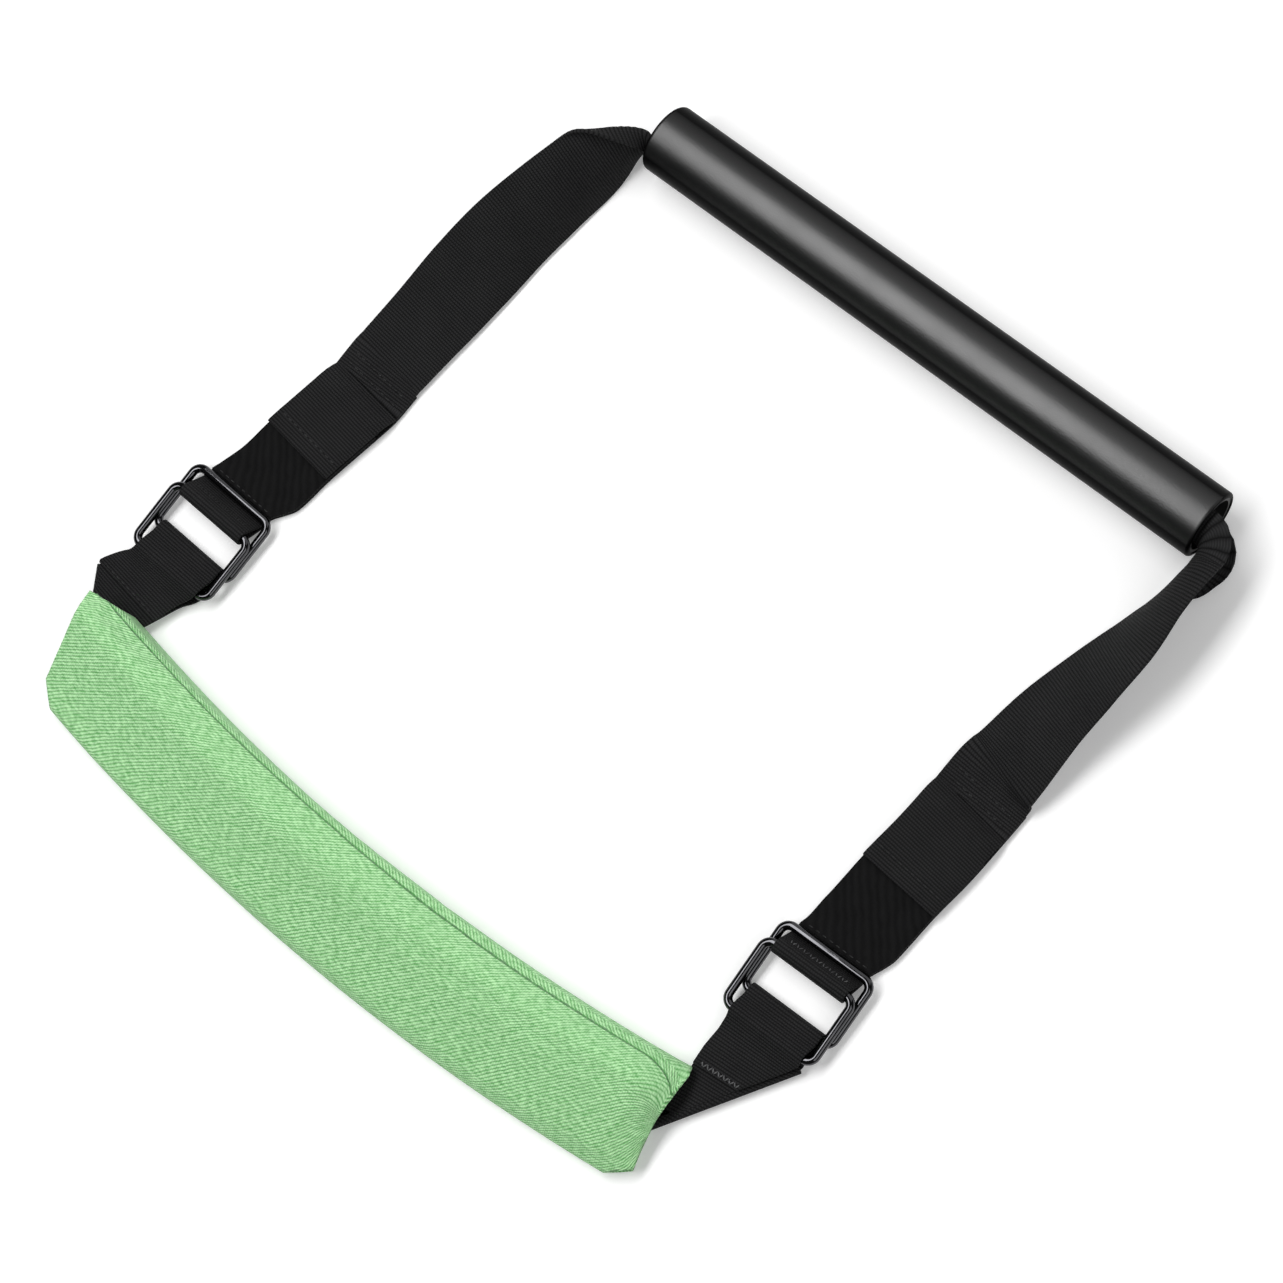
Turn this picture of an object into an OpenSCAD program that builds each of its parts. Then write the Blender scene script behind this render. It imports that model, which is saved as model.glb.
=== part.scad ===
// Two-handed pull loop: a tubular grip on webbing, two double-ring buckles
// with hook-and-loop flaps, and a padded fabric sleeve. The loop lies on a
// surface. X runs along the grip, +Y from the pad to the grip, +Z is up.
// The origin is the middle of the footprint, on the surface it lies on.

/* [Webbing] */
// Width of all the webbing
web_w = 38; // [30:1:39]
// Thickness of the webbing
web_t = 1.4; // [1:0.1:1.6]
// Thickness of the hook and loop tapes
tape_t = 0.8; // [0.6:0.1:0.9]

/* [Grip] */
// Length of the grip
grip_len = 284; // [240:1:284]
// Outer diameter of the foam grip
grip_od = 30.5; // [29:0.5:31]
// Wall of the foam grip
foam_wall = 2; // [1.5:0.1:2.2]
// Wall of the tube inside the foam
core_wall = 1.5; // [1:0.1:1.6]

/* [Rings] */
// Outer width of a ring
ring_w = 47.4; // [47.3:0.1:48]
// Distance between the middles of a ring's two bars
ring_l = 30.5; // [30:0.1:31]
// Diameter of the ring wire
wire_d = 3.8; // [3.4:0.1:3.9]
// Middle radius of a ring's corners
ring_corner = 4.2; // [3.8:0.1:4.6]

/* [Pad] */
// Radius of the pad's inner edge, seen from above
pad_r = 950; // [900:10:1000]
// Width of the pad, seen from above
pad_w = 55; // [52:0.5:56]
// Height of the pad's ridge
pad_h = 26; // [24:0.5:30]
// Thickness of the sleeve's fabric
fabric_t = 1; // [0.8:0.1:1.2]

/* [Hidden] */
$fn = 48;

// Middle of the footprint in the coordinates that the layout is drawn in
middle = [5.94, 2.19];

wire_r = wire_d / 2;
gap = 0.1;
// Room between a ring's wire and the webbing round it
bar_gap = 0.2;
half_t = web_t / 2;
black = [0.07, 0.07, 0.075];
thread = [0.2, 0.2, 0.21];
green = [0.64, 0.84, 0.61];

// Grip: its axis lies along X
grip_x = 42.5;
grip_y = 174.5;
grip_z = grip_od / 2;
core_od = grip_od - 2 * foam_wall;
bore_d = core_od - 2 * core_wall;
end_round = 1.6;

// One side of the strapping, from the pad to the grip. The distance u is taken
// from ring A's far bar: below zero toward the pad, above zero toward the grip.
LEFT = 0;
RIGHT = 1;
// Rings: bar heights. Ring A lies lower at its sides, and ring B lies on it.
a_near_z = web_t + bar_gap + wire_r;
a_far_z = 2 * web_t + tape_t + 3 * gap + wire_r;
ring_lift = wire_d - 0.7;
b_near_z = a_near_z + ring_lift;
b_far_z = a_far_z + ring_lift;
ring_run = sqrt(ring_l * ring_l - (a_far_z - a_near_z) * (a_far_z - a_near_z));

// Middles of the rings' far bars, and how far the bars turn from X
ring_a_at = [[-158.6, -53.8], [166.4, -49.4]];
ring_b_at = [[-159.7, -65], [165.35, -59]];
ring_turn = [-2.2, 2.1];
// Direction square to the bars, and the bars' distances along it from ring A's far bar
function square_to(side) = [-sin(ring_turn[side]), cos(ring_turn[side])];
u_a_near = -ring_run;
u_b_far = [for (side = [LEFT, RIGHT]) (ring_b_at[side] - ring_a_at[side]) * square_to(side)];
u_b_near = [for (u = u_b_far) u - ring_run];
// The route's row where the webbing crosses a bar at x, so far behind the middle given
function bar_row(side, at, behind, x) =
    let (n = square_to(side), c = at[side] - n * behind)
    [(c - ring_a_at[side]) * n, x, c[1] + (x - c[0]) * tan(ring_turn[side]), ring_turn[side]];

// Each row: u, x, y, angle of the crosswise direction in degrees
route = [
    [[-64, -172, -116, -8], [-50, -165.6, -103.4, -5], [-46, -162.6, -99.6, -2.4],
     bar_row(LEFT, ring_b_at, ring_run, -160.8), bar_row(LEFT, ring_a_at, ring_run, -159.9),
     bar_row(LEFT, ring_b_at, 0, -159.5), [-5.6, -158.9, -59.4, -2.2],
     bar_row(LEFT, ring_a_at, 0, -158.5), [2.6, -157.9, -51.3, -2.2],
     [7, -155.9, -47.5, -5.5], [16.2, -151.9, -39, -8], [33.4, -149.1, -22, -7],
     [66.1, -142.3, 10, -7], [72, -141.4, 16, -7], [92, -140.8, 36, -5]],
    [[-64, 168.7, -113, 6], [-48, 167.6, -97.4, 3.6], [-44, 167.4, -93.4, 2.2],
     bar_row(RIGHT, ring_b_at, ring_run, 166.85), bar_row(RIGHT, ring_a_at, ring_run, 167.25),
     bar_row(RIGHT, ring_b_at, 0, 165.65), [-4.8, 165.85, -54.2, 2.1],
     bar_row(RIGHT, ring_a_at, 0, 166.1), [2.6, 166.6, -46.8, 2.1],
     [7, 168, -42.5, -0.5], [16.6, 169.6, -33, -4], [38.1, 171.2, -11.6, -4],
     [58.9, 173.7, 9, -6], [80.4, 175.1, 30.5, -7], [100, 176, 50, -5]]
];
// Where the flap's free end (l2) and its hinge line (l1) lie along u
l2 = [33, 38];
l1 = [72, 80.4];

// Radius of the webbing's middle round a bar
bend_r = wire_r + bar_gap + half_t;
curve_steps = 10;

// Pad: the arc's centre, and the section's floor layers
pad_x = -6;
pad_y = -131.2 + pad_r;
strip_z = fabric_t + gap + half_t;
foam_z = fabric_t + web_t + 3 * gap;
strip_edge = 6;
fold_r = web_t + gap / 2;

// ---------- vector helpers ----------
function unit(v) = v / norm(v);
function flat_dir(a) = [cos(a), sin(a), 0];
function mix(a, b, t) = a + (b - a) * t;
// Catmull-Rom curve through rows of numbers
function cr(p, t) = 0.5 * (2 * p[1] + (p[2] - p[0]) * t
    + (2 * p[0] - 5 * p[1] + 4 * p[2] - p[3]) * t * t
    + (3 * p[1] - p[0] - 3 * p[2] + p[3]) * t * t * t);
function clamp(i, n) = min(max(i, 0), n);
function around(rows, i) = [for (k = [-1:2]) rows[clamp(i + k, len(rows) - 1)]];
function smooth(rows, n) = [
    for (i = [0:len(rows) - 2], k = [0:n - 1]) cr(around(rows, i), k / n),
    rows[len(rows) - 1]
];
// Row of the route at distance u, on a curve whose slopes are taken along u
function segment(r, u, i = 0) = i >= len(r) - 2 || u < r[i + 1][0] ? i : segment(r, u, i + 1);
function slope(r, i) =
    let (a = r[clamp(i - 1, len(r) - 1)], b = r[clamp(i + 1, len(r) - 1)]) (b - a) / (b[0] - a[0]);
function route_at(side, u) =
    let (r = route[side], i = segment(r, u), d = r[i + 1][0] - r[i][0], t = (u - r[i][0]) / d)
    r[i] * (2 * t * t * t - 3 * t * t + 1) + slope(r, i) * (d * (t * t * t - 2 * t * t + t))
    + r[i + 1] * (3 * t * t - 2 * t * t * t) + slope(r, i + 1) * (d * (t * t * t - t * t));
function spot(side, u, z) = let (q = route_at(side, u)) [q[1], q[2], z];
function cross_dir(side, u) = flat_dir(route_at(side, u)[3]);

// ---------- sweep of a strip ----------
// A station is [centre, crosswise unit vector, upward unit vector, curl in degrees,
// distances of the two edges from the centre].
// A curled strip bows toward its upward side, and its edges bend down.
function strip_point(st, s, h) =
    let (c = st[3], r = web_w / max(c * PI / 180, 0.001), a = s / r * 180 / PI,
         side = c < 0.5 ? s : r * sin(a), drop = c < 0.5 ? 0 : r * (1 - cos(a)),
         n = c < 0.5 ? st[2] : st[2] * cos(a) + st[1] * sin(a))
    st[0] + st[1] * side - st[2] * drop + n * h;
function strip_loop(st, t, n) = concat(
    [for (k = [0:n]) strip_point(st, mix(st[4], st[5], k / n), t / 2)],
    [for (k = [n:-1:0]) strip_point(st, mix(st[4], st[5], k / n), -t / 2)]);
module strip(stations, t = web_t, n = 1) {
    m = 2 * (n + 1);
    last = len(stations) - 1;
    points = [for (st = stations) each strip_loop(st, t, n)];
    walls = [for (i = [0:last - 1], k = [0:m - 1]) let (a = i * m + k, b = i * m + (k + 1) % m)
        each [[a, b, b + m], [a, b + m, a + m]]];
    caps = [for (k = [0:n - 1]) each [
        [k, m - 1 - k, m - 2 - k], [k, m - 2 - k, k + 1],
        [last * m + k, last * m + m - 2 - k, last * m + m - 1 - k],
        [last * m + k, last * m + k + 1, last * m + m - 2 - k]]];
    polyhedron(points, concat(walls, caps), convexity = 6);
}
// Stations of a strip that follows the route through [u, z] rows, toward the pad
function tangent(p, i) = unit(p[min(i + 1, len(p) - 1)] - p[max(i - 1, 0)]);
// The rings draw the webbing's edges in a little from each side
draw_in = 1;
function half_width(u) = web_w / 2
    - draw_in * clamp((u + 58) / 8, 1) * clamp((14 - u) / 8, 1);
function route_stations(side, uz, trim = 0) =
    let (p = [for (q = uz) spot(side, q[0], q[1])])
    [for (i = [0:len(p) - 1])
        let (w = cross_dir(side, uz[i][0]), t = tangent(p, i), half = half_width(uz[i][0]) - trim)
        [p[i], w, unit(cross(w, t)), 0, -half, half]];
// Arc of [u, z] rows round a bar, from angle a0 to a1
function bar_arc(u, z, r, a0, a1) = [for (k = [0:curve_steps])
    let (a = mix(a0, a1, k / curve_steps)) [u + r * cos(a), z + r * sin(a)]];

// ---------- grip ----------
function rounded_tube(ro, ri, half, r) = [
    [ri, -half], [ro - r, -half],
    for (k = [1:5]) [ro - r + r * sin(18 * k), -half + r - r * cos(18 * k)],
    for (k = [1:5]) [ro - r + r * cos(18 * k), half - r + r * sin(18 * k)],
    [ri, half]
];
module on_grip_axis() {
    translate([grip_x, grip_y, grip_z]) rotate([0, 90, 0]) children();
}
module grip_foam() {
    color(black) on_grip_axis() rotate_extrude($fn = 96)
        polygon(rounded_tube(grip_od / 2, core_od / 2, grip_len / 2, end_round));
}
module grip_core() {
    color([0.13, 0.13, 0.14]) on_grip_axis() difference() {
        cylinder(d = core_od, h = grip_len - 1, center = true, $fn = 96);
        cylinder(d = bore_d, h = grip_len, center = true, $fn = 96);
    }
}

// ---------- webbing through the grip ----------
// Each row: x, y, z, roll that lifts the outer edge, curl. In the bore the webbing
// stands on edge, curled against the wall nearest the pad. It untwists along each leg.
curl_r = bore_d / 2 - half_t - 0.5;
belly_y = grip_y - curl_r;
bore_curl = web_w / curl_r * 180 / PI;
lap_z = web_t * 1.5 + gap;
// Both ends, and the flaps that hang on them, are turned this much from square
hinge_turn = -7;
leg_left = [
    [-141.4, 16, lap_z, 0, 0], [-141.2, 28, lap_z + 0.1, 0, 0], [-140.6, 34, 2.35, 0, 0],
    [-138, 56, 3.8, 5, 2], [-133.9, 80, 8.6, 20, 14], [-128.8, 103, 13.6, 35, 32],
    [-121.9, 124, 17.2, 52, 56], [-114.2, 139, 18.9, 67, 90], [-107.2, 149.5, 17.8, 79, 124],
    [-103.2, 157.5, 15.8, 87, 160],
    [-101, belly_y, grip_z, 90, bore_curl], [-92, belly_y, grip_z, 90, bore_curl]
];
leg_right = [
    [177, belly_y, grip_z, 90, bore_curl], [186, belly_y, grip_z, 90, bore_curl],
    [187.2, 157.5, 16, 82, 160], [188.3, 149.5, 18.8, 67, 100], [188.5, 136, 18.9, 57, 56],
    [187.7, 119, 16.5, 48, 24], [183.5, 98, 12.7, 37, 8], [179.5, 76, 9.4, 26, 2],
    [177.1, 54, 5.7, 14, 0], [175.9, 47, 3.3, 4, 0], [175.5, 42, lap_z + 0.2, 0, 0],
    [175.1, 30.5, lap_z, 0, 0]
];
grip_rows = concat(smooth(leg_left, 3), smooth(leg_right, 3));
function leg_stations(rows) =
    let (p = [for (q = rows) [q[0], q[1], q[2]]], last = len(p) - 1)
    [for (i = [0:last])
        let (t = tangent(p, i), w = i == 0 ? flat_dir(hinge_turn)
                : i == last ? -flat_dir(hinge_turn) : unit(cross(t, [0, 0, 1])),
             up = unit(cross(w, t)), r = rows[i][3])
        [p[i], w * cos(r) - up * sin(r), up * cos(r) + w * sin(r), max(rows[i][4], 0),
         -web_w / 2, web_w / 2]];
module main_webbing() {
    color(black) strip(leg_stations(grip_rows), n = 8);
}

// ---------- flap: the end of the main webbing, folded back as a hem ----------
tail_z = lap_z;
tape_z = tail_z + half_t + tape_t / 2 + 0.02;
hook_z = tape_z + tape_t + 0.03;
flap_z = hook_z + tape_t / 2 + half_t + 0.02;
hem_len = 9;
hinge_room = 1;
function flap_rows(side) = [
    [l1[side] - hinge_room, lap_z], [l1[side] - 2.7, lap_z + 1], [l1[side] - 6, flap_z - 0.3],
    [l1[side] - 9, flap_z],
    [(l1[side] + l2[side]) / 2, flap_z], [l2[side], flap_z]
];
module flap(side) {
    color(black) strip(route_stations(side, smooth(flap_rows(side), 3)));
}
module hook_tape(side) {
    rows = [[l1[side] - 9, 0], [(l1[side] + l2[side]) / 2, 0], [l2[side] + 1.5, 0]];
    color([0.05, 0.05, 0.055]) strip(
        route_stations(side, [for (q = rows) [q[0], hook_z]], trim = 1), t = tape_t);
}

// ---------- adjusting strap: standing part, and the tail over it ----------
// The standing part starts under the lap, passes under both rings and rises
// to ring B's far bar. The tail goes round that bar and back under ring A's.
under_r = wire_r + 2 * gap + tape_t + half_t;
rise_u = -2.2;
function bar_b(side) = [u_b_far[side], b_far_z];
// Angles on ring B's bar where the standing part arrives and where the tail leaves
function arrive(side) = let (d = [rise_u, half_t] - bar_b(side))
    360 + atan2(d[1], d[0]) - acos(bend_r / norm(d));
function leave(side) = let (d = [0, a_far_z] - bar_b(side))
    atan2(d[1], d[0]) - asin((bend_r + under_r) / norm(d)) + 90;
module adjuster(side) {
    b = bar_b(side);
    color(black) strip(route_stations(side, concat(
        [[l1[side] + 12, half_t], [l1[side], half_t], [l2[side], half_t], [14, half_t],
         [6, half_t], [1, half_t], [rise_u - 1, half_t + 0.3]],
        bar_arc(b[0], b[1], bend_r, arrive(side), 182))));
}
tail_end = [60, 68];
module tail(side) {
    b = bar_b(side);
    color(black) strip(route_stations(side, concat(
        bar_arc(b[0], b[1], bend_r, 178, leave(side)),
        bar_arc(0, a_far_z, under_r, leave(side) + 180, 262),
        [[2, tail_z], [6, tail_z], [14, tail_z], [l2[side], tail_z], [tail_end[side], tail_z]])));
}
module loop_tape(side) {
    rows = [[2, tape_z], [6, tape_z], [14, tape_z], [l2[side], tape_z], [tail_end[side] - 1, tape_z]];
    color([0.04, 0.04, 0.045]) strip(route_stations(side, rows, trim = 0.5), t = tape_t);
}

// ---------- rings ----------
// A ring in its own plane: bars along X, its far bar at y = 0
module ring_flat() {
    half_w = ring_w / 2 - wire_r;
    for (y = [0, -ring_l])
        translate([0, y, 0]) rotate([0, 90, 0])
            cylinder(d = wire_d, h = 2 * (half_w - ring_corner), center = true);
    for (x = [-half_w, half_w])
        translate([x, -ring_l / 2, 0]) rotate([90, 0, 0])
            cylinder(d = wire_d, h = ring_l - 2 * ring_corner, center = true);
    for (sx = [0, 1], sy = [0, 1])
        translate([(2 * sx - 1) * (half_w - ring_corner), sy == 0 ? -ring_corner : ring_corner - ring_l, 0])
            rotate([0, 0, sx == 0 ? (sy == 0 ? 90 : 180) : (sy == 0 ? 0 : 270)])
                rotate_extrude(angle = 90) translate([ring_corner, 0]) circle(d = wire_d);
}
module ring(side, at, far_z, near_z) {
    color([0.1, 0.1, 0.11]) translate([at[0], at[1], far_z]) rotate([0, 0, ring_turn[side]])
        rotate([asin((far_z - near_z) / ring_l), 0, 0]) ring_flat();
}
module ring_a(side) {
    ring(side, ring_a_at[side], a_far_z, a_near_z);
}
module ring_b(side) {
    ring(side, ring_b_at[side], b_far_z, b_near_z);
}

// ---------- pad webbing, with a tab looped round the near bars at each end ----------
// A tab's lower layer turns under, into the sleeve, at a diagonal fold. The upper
// layer is the strip's end, folded back and sewn down.
fold_top = [[-188.8, -112.8], [182.2, -97.9]];
fold_low = [[-161.6, -155.6], [148.4, -151.6]];
mouth = [[-180.8, -119.6], [148.5, -122.5]];
tab_end = [-62, -66];
tab_low_end = [-83, -86];
tab_low_z = strip_z + 2 * fold_r;
tab_high_z = tab_low_z + web_t + gap;
// Least distance from the tab's layers to the fold line: the roll that the fold makes
fold_room = fold_r + half_t + gap;
function tab_rows(side) = let (b = u_b_near[side]) concat(
    [[tab_low_end[side], tab_low_z], [-75, tab_low_z], [-66, tab_low_z], [-58, tab_low_z],
     [-52, mix(tab_low_z, half_t, 0.4)], [b - 4, half_t + 0.15], [b, half_t], [-36, half_t]],
    bar_arc(u_a_near, a_near_z, bend_r, 270, 450),
    [[mix(u_a_near, b, 0.35), a_near_z + bend_r + 0.6], [mix(u_a_near, b, 0.68), b_near_z + bend_r - 0.7]],
    bar_arc(b, b_near_z, bend_r, 80, 118),
    [[b - 4, b_near_z + 1], [b - 8, mix(b_near_z, tab_high_z, 0.6)], [-54, tab_high_z + 0.3],
     [-58, tab_high_z], [tab_end[side], tab_high_z]]);
// Distances along w from p: to the fold line, and the further one that clears the roll
function across(a, b) = a[0] * b[1] - a[1] * b[0];
function fold_way(side) = unit(fold_low[side] - fold_top[side]);
function to_fold(side, p, w) =
    across(fold_top[side] - [p[0], p[1]], fold_way(side)) / across(w, fold_way(side));
function past_roll(side, w) = fold_room / abs(across(w, fold_way(side)));
function trimmed(side, st) =
    let (s = to_fold(side, st[0], st[1]), r = past_roll(side, st[1]))
    [st[0], st[1], st[2], st[3], side == LEFT ? max(st[4], s + r) : st[4],
     side == LEFT ? st[5] : min(st[5], s - r)];
module tab(side) {
    color(black) strip([for (st = route_stations(side, tab_rows(side))) trimmed(side, st)]);
}
module fold_roll(side) {
    low = fold_low[side];
    d = fold_top[side] - low;
    translate([low[0], low[1], strip_z + fold_r]) rotate([0, 0, atan2(d[1], d[0])])
        rotate([0, 90, 0]) cylinder(r = fold_r + half_t, h = norm(d), $fn = 24);
}
module pad_sweep(a0, a1) {
    translate([pad_x, pad_y, 0]) rotate([0, 0, a0]) rotate_extrude(angle = a1 - a0, $fn = 360)
        children();
}
function on_arc(r, a) = [pad_x + r * cos(a), pad_y + r * sin(a)];
strip_r = [pad_r + strip_edge, pad_r + strip_edge + web_w];
strip_arc = [261.8, 278];
module pad_webbing() {
    color(black) union() {
        pad_sweep(strip_arc[0], strip_arc[1]) translate([strip_r[0], strip_z - half_t])
            square([web_w, web_t]);
        for (side = [LEFT, RIGHT]) {
            a = strip_arc[side] + (side == LEFT ? 0.4 : -0.4);
            translate([0, 0, strip_z - half_t]) linear_extrude(web_t) polygon([
                fold_top[side], fold_low[side], on_arc(strip_r[1] - 0.5, a),
                on_arc(strip_r[0] + 0.5, a), mouth[side]]);
            fold_roll(side);
        }
    }
}

// ---------- pad ----------
// Section corners, from the seam over the ridge to the underside: distance out from
// the inner edge, height, corner radius. shrink moves the outline in by the fabric.
seam_high = 15.6;
seam_low = 15.3;
function section_corners(shrink) = [
    [1.2 + shrink, seam_high, 0], [1.2 + shrink, 17.5 - shrink, 1.5 - shrink],
    [14, pad_h - shrink * 1.25, 7 - shrink], [pad_w - shrink * 1.2, 5, 3 - shrink],
    [pad_w - 2 - shrink, shrink, 2.5 - shrink], [1.2 + shrink, shrink, 2.5 - shrink],
    [1.2 + shrink, seam_low, 0]
];
function corner_arc(a, b, c, r, n) =
    let (u = unit([a[0], a[1]] - [b[0], b[1]]), v = unit([c[0], c[1]] - [b[0], b[1]]),
         half = acos(u * v) / 2, d = r / tan(half), m = unit(u + v), o = [b[0], b[1]] + m * (r / sin(half)),
         p = [b[0], b[1]] + u * d - o, q = [b[0], b[1]] + v * d - o,
         pa = atan2(p[1], p[0]), sweep = ((atan2(q[1], q[0]) - pa + 540) % 360) - 180)
    [for (k = [0:n]) o + r * [cos(pa + sweep * k / n), sin(pa + sweep * k / n)]];
function rounded(pts, n) = let (m = len(pts)) [for (i = [0:m - 1])
    each (pts[i][2] == 0 ? [[pts[i][0], pts[i][1]]]
        : corner_arc(pts[(i + m - 1) % m], pts[i], pts[(i + 1) % m], pts[i][2], n))];
function reversed(v) = [for (i = [len(v) - 1:-1:0]) v[i]];
// The sleeve is one cloth whose two edges meet at the seam. Its left end is cut on a
// slant, and its right end square across the arc.
cover_arc = [258, 279.6];
// Cuts at the left end, each: x, y, tilt, slant. The last one opens the mouth for the tab.
end_cuts = [[-183.3, -123.5, 16, 10], [-176, -163.2, 8, 45], [-176, -122.3, 0, -83.3]];
end_block = [60, 160, pad_h + 40];
// The slits in the inner edge through which the tabs come out: corners and size
slits = [[-190, -123, 0.5], [145.5, -127, 0.5]];
slit_block = [37.5, 14, 7.5];
// The right end's outer corner: x, y, slant
corner_cut = [153.1, -169.1, 40];
corner_block = [60, 30, pad_h];
module pad_cover() {
    color(green) difference() {
        pad_sweep(cover_arc[0], cover_arc[1]) translate([pad_r, 0]) polygon(concat(
            rounded(section_corners(0), 4), reversed(rounded(section_corners(fabric_t), 4))));
        for (c = end_cuts) translate([c[0], c[1], 0]) rotate([0, c[2], c[3]])
            translate([-end_block[0], -end_block[1] / 2, -20]) cube(end_block);
        for (corner = slits) translate(corner) cube(slit_block);
        translate([corner_cut[0], corner_cut[1], 0]) rotate([0, 0, corner_cut[2]])
            translate([-3, -corner_block[1], -1]) cube(corner_block);
    }
}
module pad_foam() {
    color([0.9, 0.9, 0.86]) pad_sweep(strip_arc[0], strip_arc[1]) intersection() {
        translate([pad_r, 0]) polygon(rounded(section_corners(fabric_t + 0.15), 4));
        translate([pad_r, foam_z]) square([pad_w, pad_h]);
    }
}
// Slip stitches along the seam: how many, the first one's angle and their spacing
seam_stitches = 47;
seam_start = 259.9;
seam_step = 0.38;
module pad_seam_thread() {
    color([0.5, 0.72, 0.48]) for (k = [0:seam_stitches - 1])
        translate([pad_x, pad_y, 0]) rotate([0, 0, seam_start + k * seam_step])
            translate([pad_r + 2.4, 0, 18.8]) rotate([90, -52, 0])
                cylinder(d = 0.7, h = 3.6, center = true, $fn = 12);
}

// ---------- stitching ----------
stitch_len = 2.2;
stitch_gap = 1.2;
stitch_h = 0.3;
// A row across the strap between two distances from its centre line
module stitch_row(side, u, z, low, high) {
    n = floor((high - low + stitch_gap) / (stitch_len + stitch_gap));
    start = (low + high - n * stitch_len - (n - 1) * stitch_gap) / 2;
    translate(spot(side, u, z)) rotate([0, 0, route_at(side, u)[3]]) for (k = [0:n - 1])
        translate([start + k * (stitch_len + stitch_gap), -0.35, 0]) cube([stitch_len, 0.7, stitch_h]);
}
module lap_stitching(side) {
    color(thread) for (u = [3, 8])
        stitch_row(side, l1[side] + u, lap_z + half_t + 0.3, 3 - web_w / 2, web_w / 2 - 3);
}
module hem_stitching(side) {
    color(thread)
        stitch_row(side, l2[side] + hem_len - 2, flap_z + half_t + 0.02, 2 - web_w / 2, web_w / 2 - 2);
}
module tab_stitching(side) {
    u = tab_end[side] + 3;
    w = cross_dir(side, u);
    edge = to_fold(side, spot(side, u, 0), w);
    room = past_roll(side, w) + 1;
    reach = web_w / 2 - 3;
    color(thread) stitch_row(side, u, tab_high_z + half_t + 0.02,
        side == LEFT ? max(-reach, edge + room) : -reach, side == LEFT ? reach : min(reach, edge - room));
}
module tail_stitching(side) {
    color(thread) stitch_row(side, 4, tape_z + tape_t / 2 + 0.02, 3 - web_w / 2, web_w / 2 - 3);
}

module placed() {
    translate([-middle[0], -middle[1], 0]) children();
}
placed() pad_cover();
placed() pad_foam();
placed() pad_webbing();
placed() pad_seam_thread();
placed() tab(LEFT);  // left_tab
placed() tab(RIGHT);  // right_tab
placed() ring_a(LEFT);  // left_ring_a
placed() ring_b(LEFT);  // left_ring_b
placed() ring_a(RIGHT);  // right_ring_a
placed() ring_b(RIGHT);  // right_ring_b
placed() tab_stitching(LEFT);  // left_tab_stitching
placed() tab_stitching(RIGHT);  // right_tab_stitching
placed() main_webbing();
placed() grip_foam();
placed() grip_core();
placed() adjuster(LEFT);  // left_adjuster
placed() adjuster(RIGHT);  // right_adjuster
placed() lap_stitching(LEFT);  // left_lap_stitching
placed() lap_stitching(RIGHT);  // right_lap_stitching
placed() flap(LEFT);  // left_flap
placed() flap(RIGHT);  // right_flap
placed() hook_tape(LEFT);  // left_hook_tape
placed() hook_tape(RIGHT);  // right_hook_tape
placed() hem_stitching(LEFT);  // left_hem_stitching
placed() hem_stitching(RIGHT);  // right_hem_stitching
placed() tail(LEFT);  // left_tail
placed() tail(RIGHT);  // right_tail
placed() loop_tape(LEFT);  // left_loop_tape
placed() loop_tape(RIGHT);  // right_loop_tape
placed() tail_stitching(LEFT);  // left_tail_stitching
placed() tail_stitching(RIGHT);  // right_tail_stitching
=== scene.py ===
# %% [markdown]
# A padded pull loop, dressed for rendering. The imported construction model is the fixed
# frame: its rings, grip tube and joints stay where they are. This lesson puts real cloth
# on it: woven webbing, velvety loop tape, thread, and a stuffed twill sleeve.

# %% Load the frame
import bpy
import math
import numpy as np
from mathutils import Matrix, Vector


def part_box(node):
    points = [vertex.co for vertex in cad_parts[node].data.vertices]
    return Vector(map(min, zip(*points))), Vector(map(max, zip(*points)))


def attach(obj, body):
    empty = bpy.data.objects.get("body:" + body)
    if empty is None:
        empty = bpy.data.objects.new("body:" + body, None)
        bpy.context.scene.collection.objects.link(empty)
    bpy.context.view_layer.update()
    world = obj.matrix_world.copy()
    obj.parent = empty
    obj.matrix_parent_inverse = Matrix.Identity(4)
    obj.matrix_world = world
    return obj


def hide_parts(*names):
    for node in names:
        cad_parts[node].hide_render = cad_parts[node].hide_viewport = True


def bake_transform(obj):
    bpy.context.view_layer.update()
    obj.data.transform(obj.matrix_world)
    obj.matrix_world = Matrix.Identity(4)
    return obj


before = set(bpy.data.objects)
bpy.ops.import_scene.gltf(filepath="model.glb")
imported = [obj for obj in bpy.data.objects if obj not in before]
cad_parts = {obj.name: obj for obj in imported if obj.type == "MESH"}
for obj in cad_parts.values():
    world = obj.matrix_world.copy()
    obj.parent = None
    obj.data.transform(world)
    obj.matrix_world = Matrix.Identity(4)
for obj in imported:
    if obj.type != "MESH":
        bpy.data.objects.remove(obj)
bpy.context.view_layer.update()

MM = 0.001
print("frame loaded:", len(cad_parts), "nodes")

# %% [markdown]
# The straps' routes below are drawn on one layout sheet, in millimetres, whose grip axis
# passes through a known point. The grip's box in the frame tells where that sheet lies,
# so every later position comes from the frame.

# %% The layout sheet
GRIP_ON_SHEET = Vector((42.5, 174.5))
grip_low, grip_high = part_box("grip_foam")
sheet_shift = Vector(((grip_low.x + grip_high.x) / 2, (grip_low.y + grip_high.y) / 2)) - GRIP_ON_SHEET * MM


def place(x, y, z):
    """A point of the layout sheet, in the row frame and in metres."""
    return Vector((x * MM + sheet_shift.x, y * MM + sheet_shift.y, z * MM))


print("sheet shifted by", [round(v / MM, 2) for v in sheet_shift], "mm")

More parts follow.
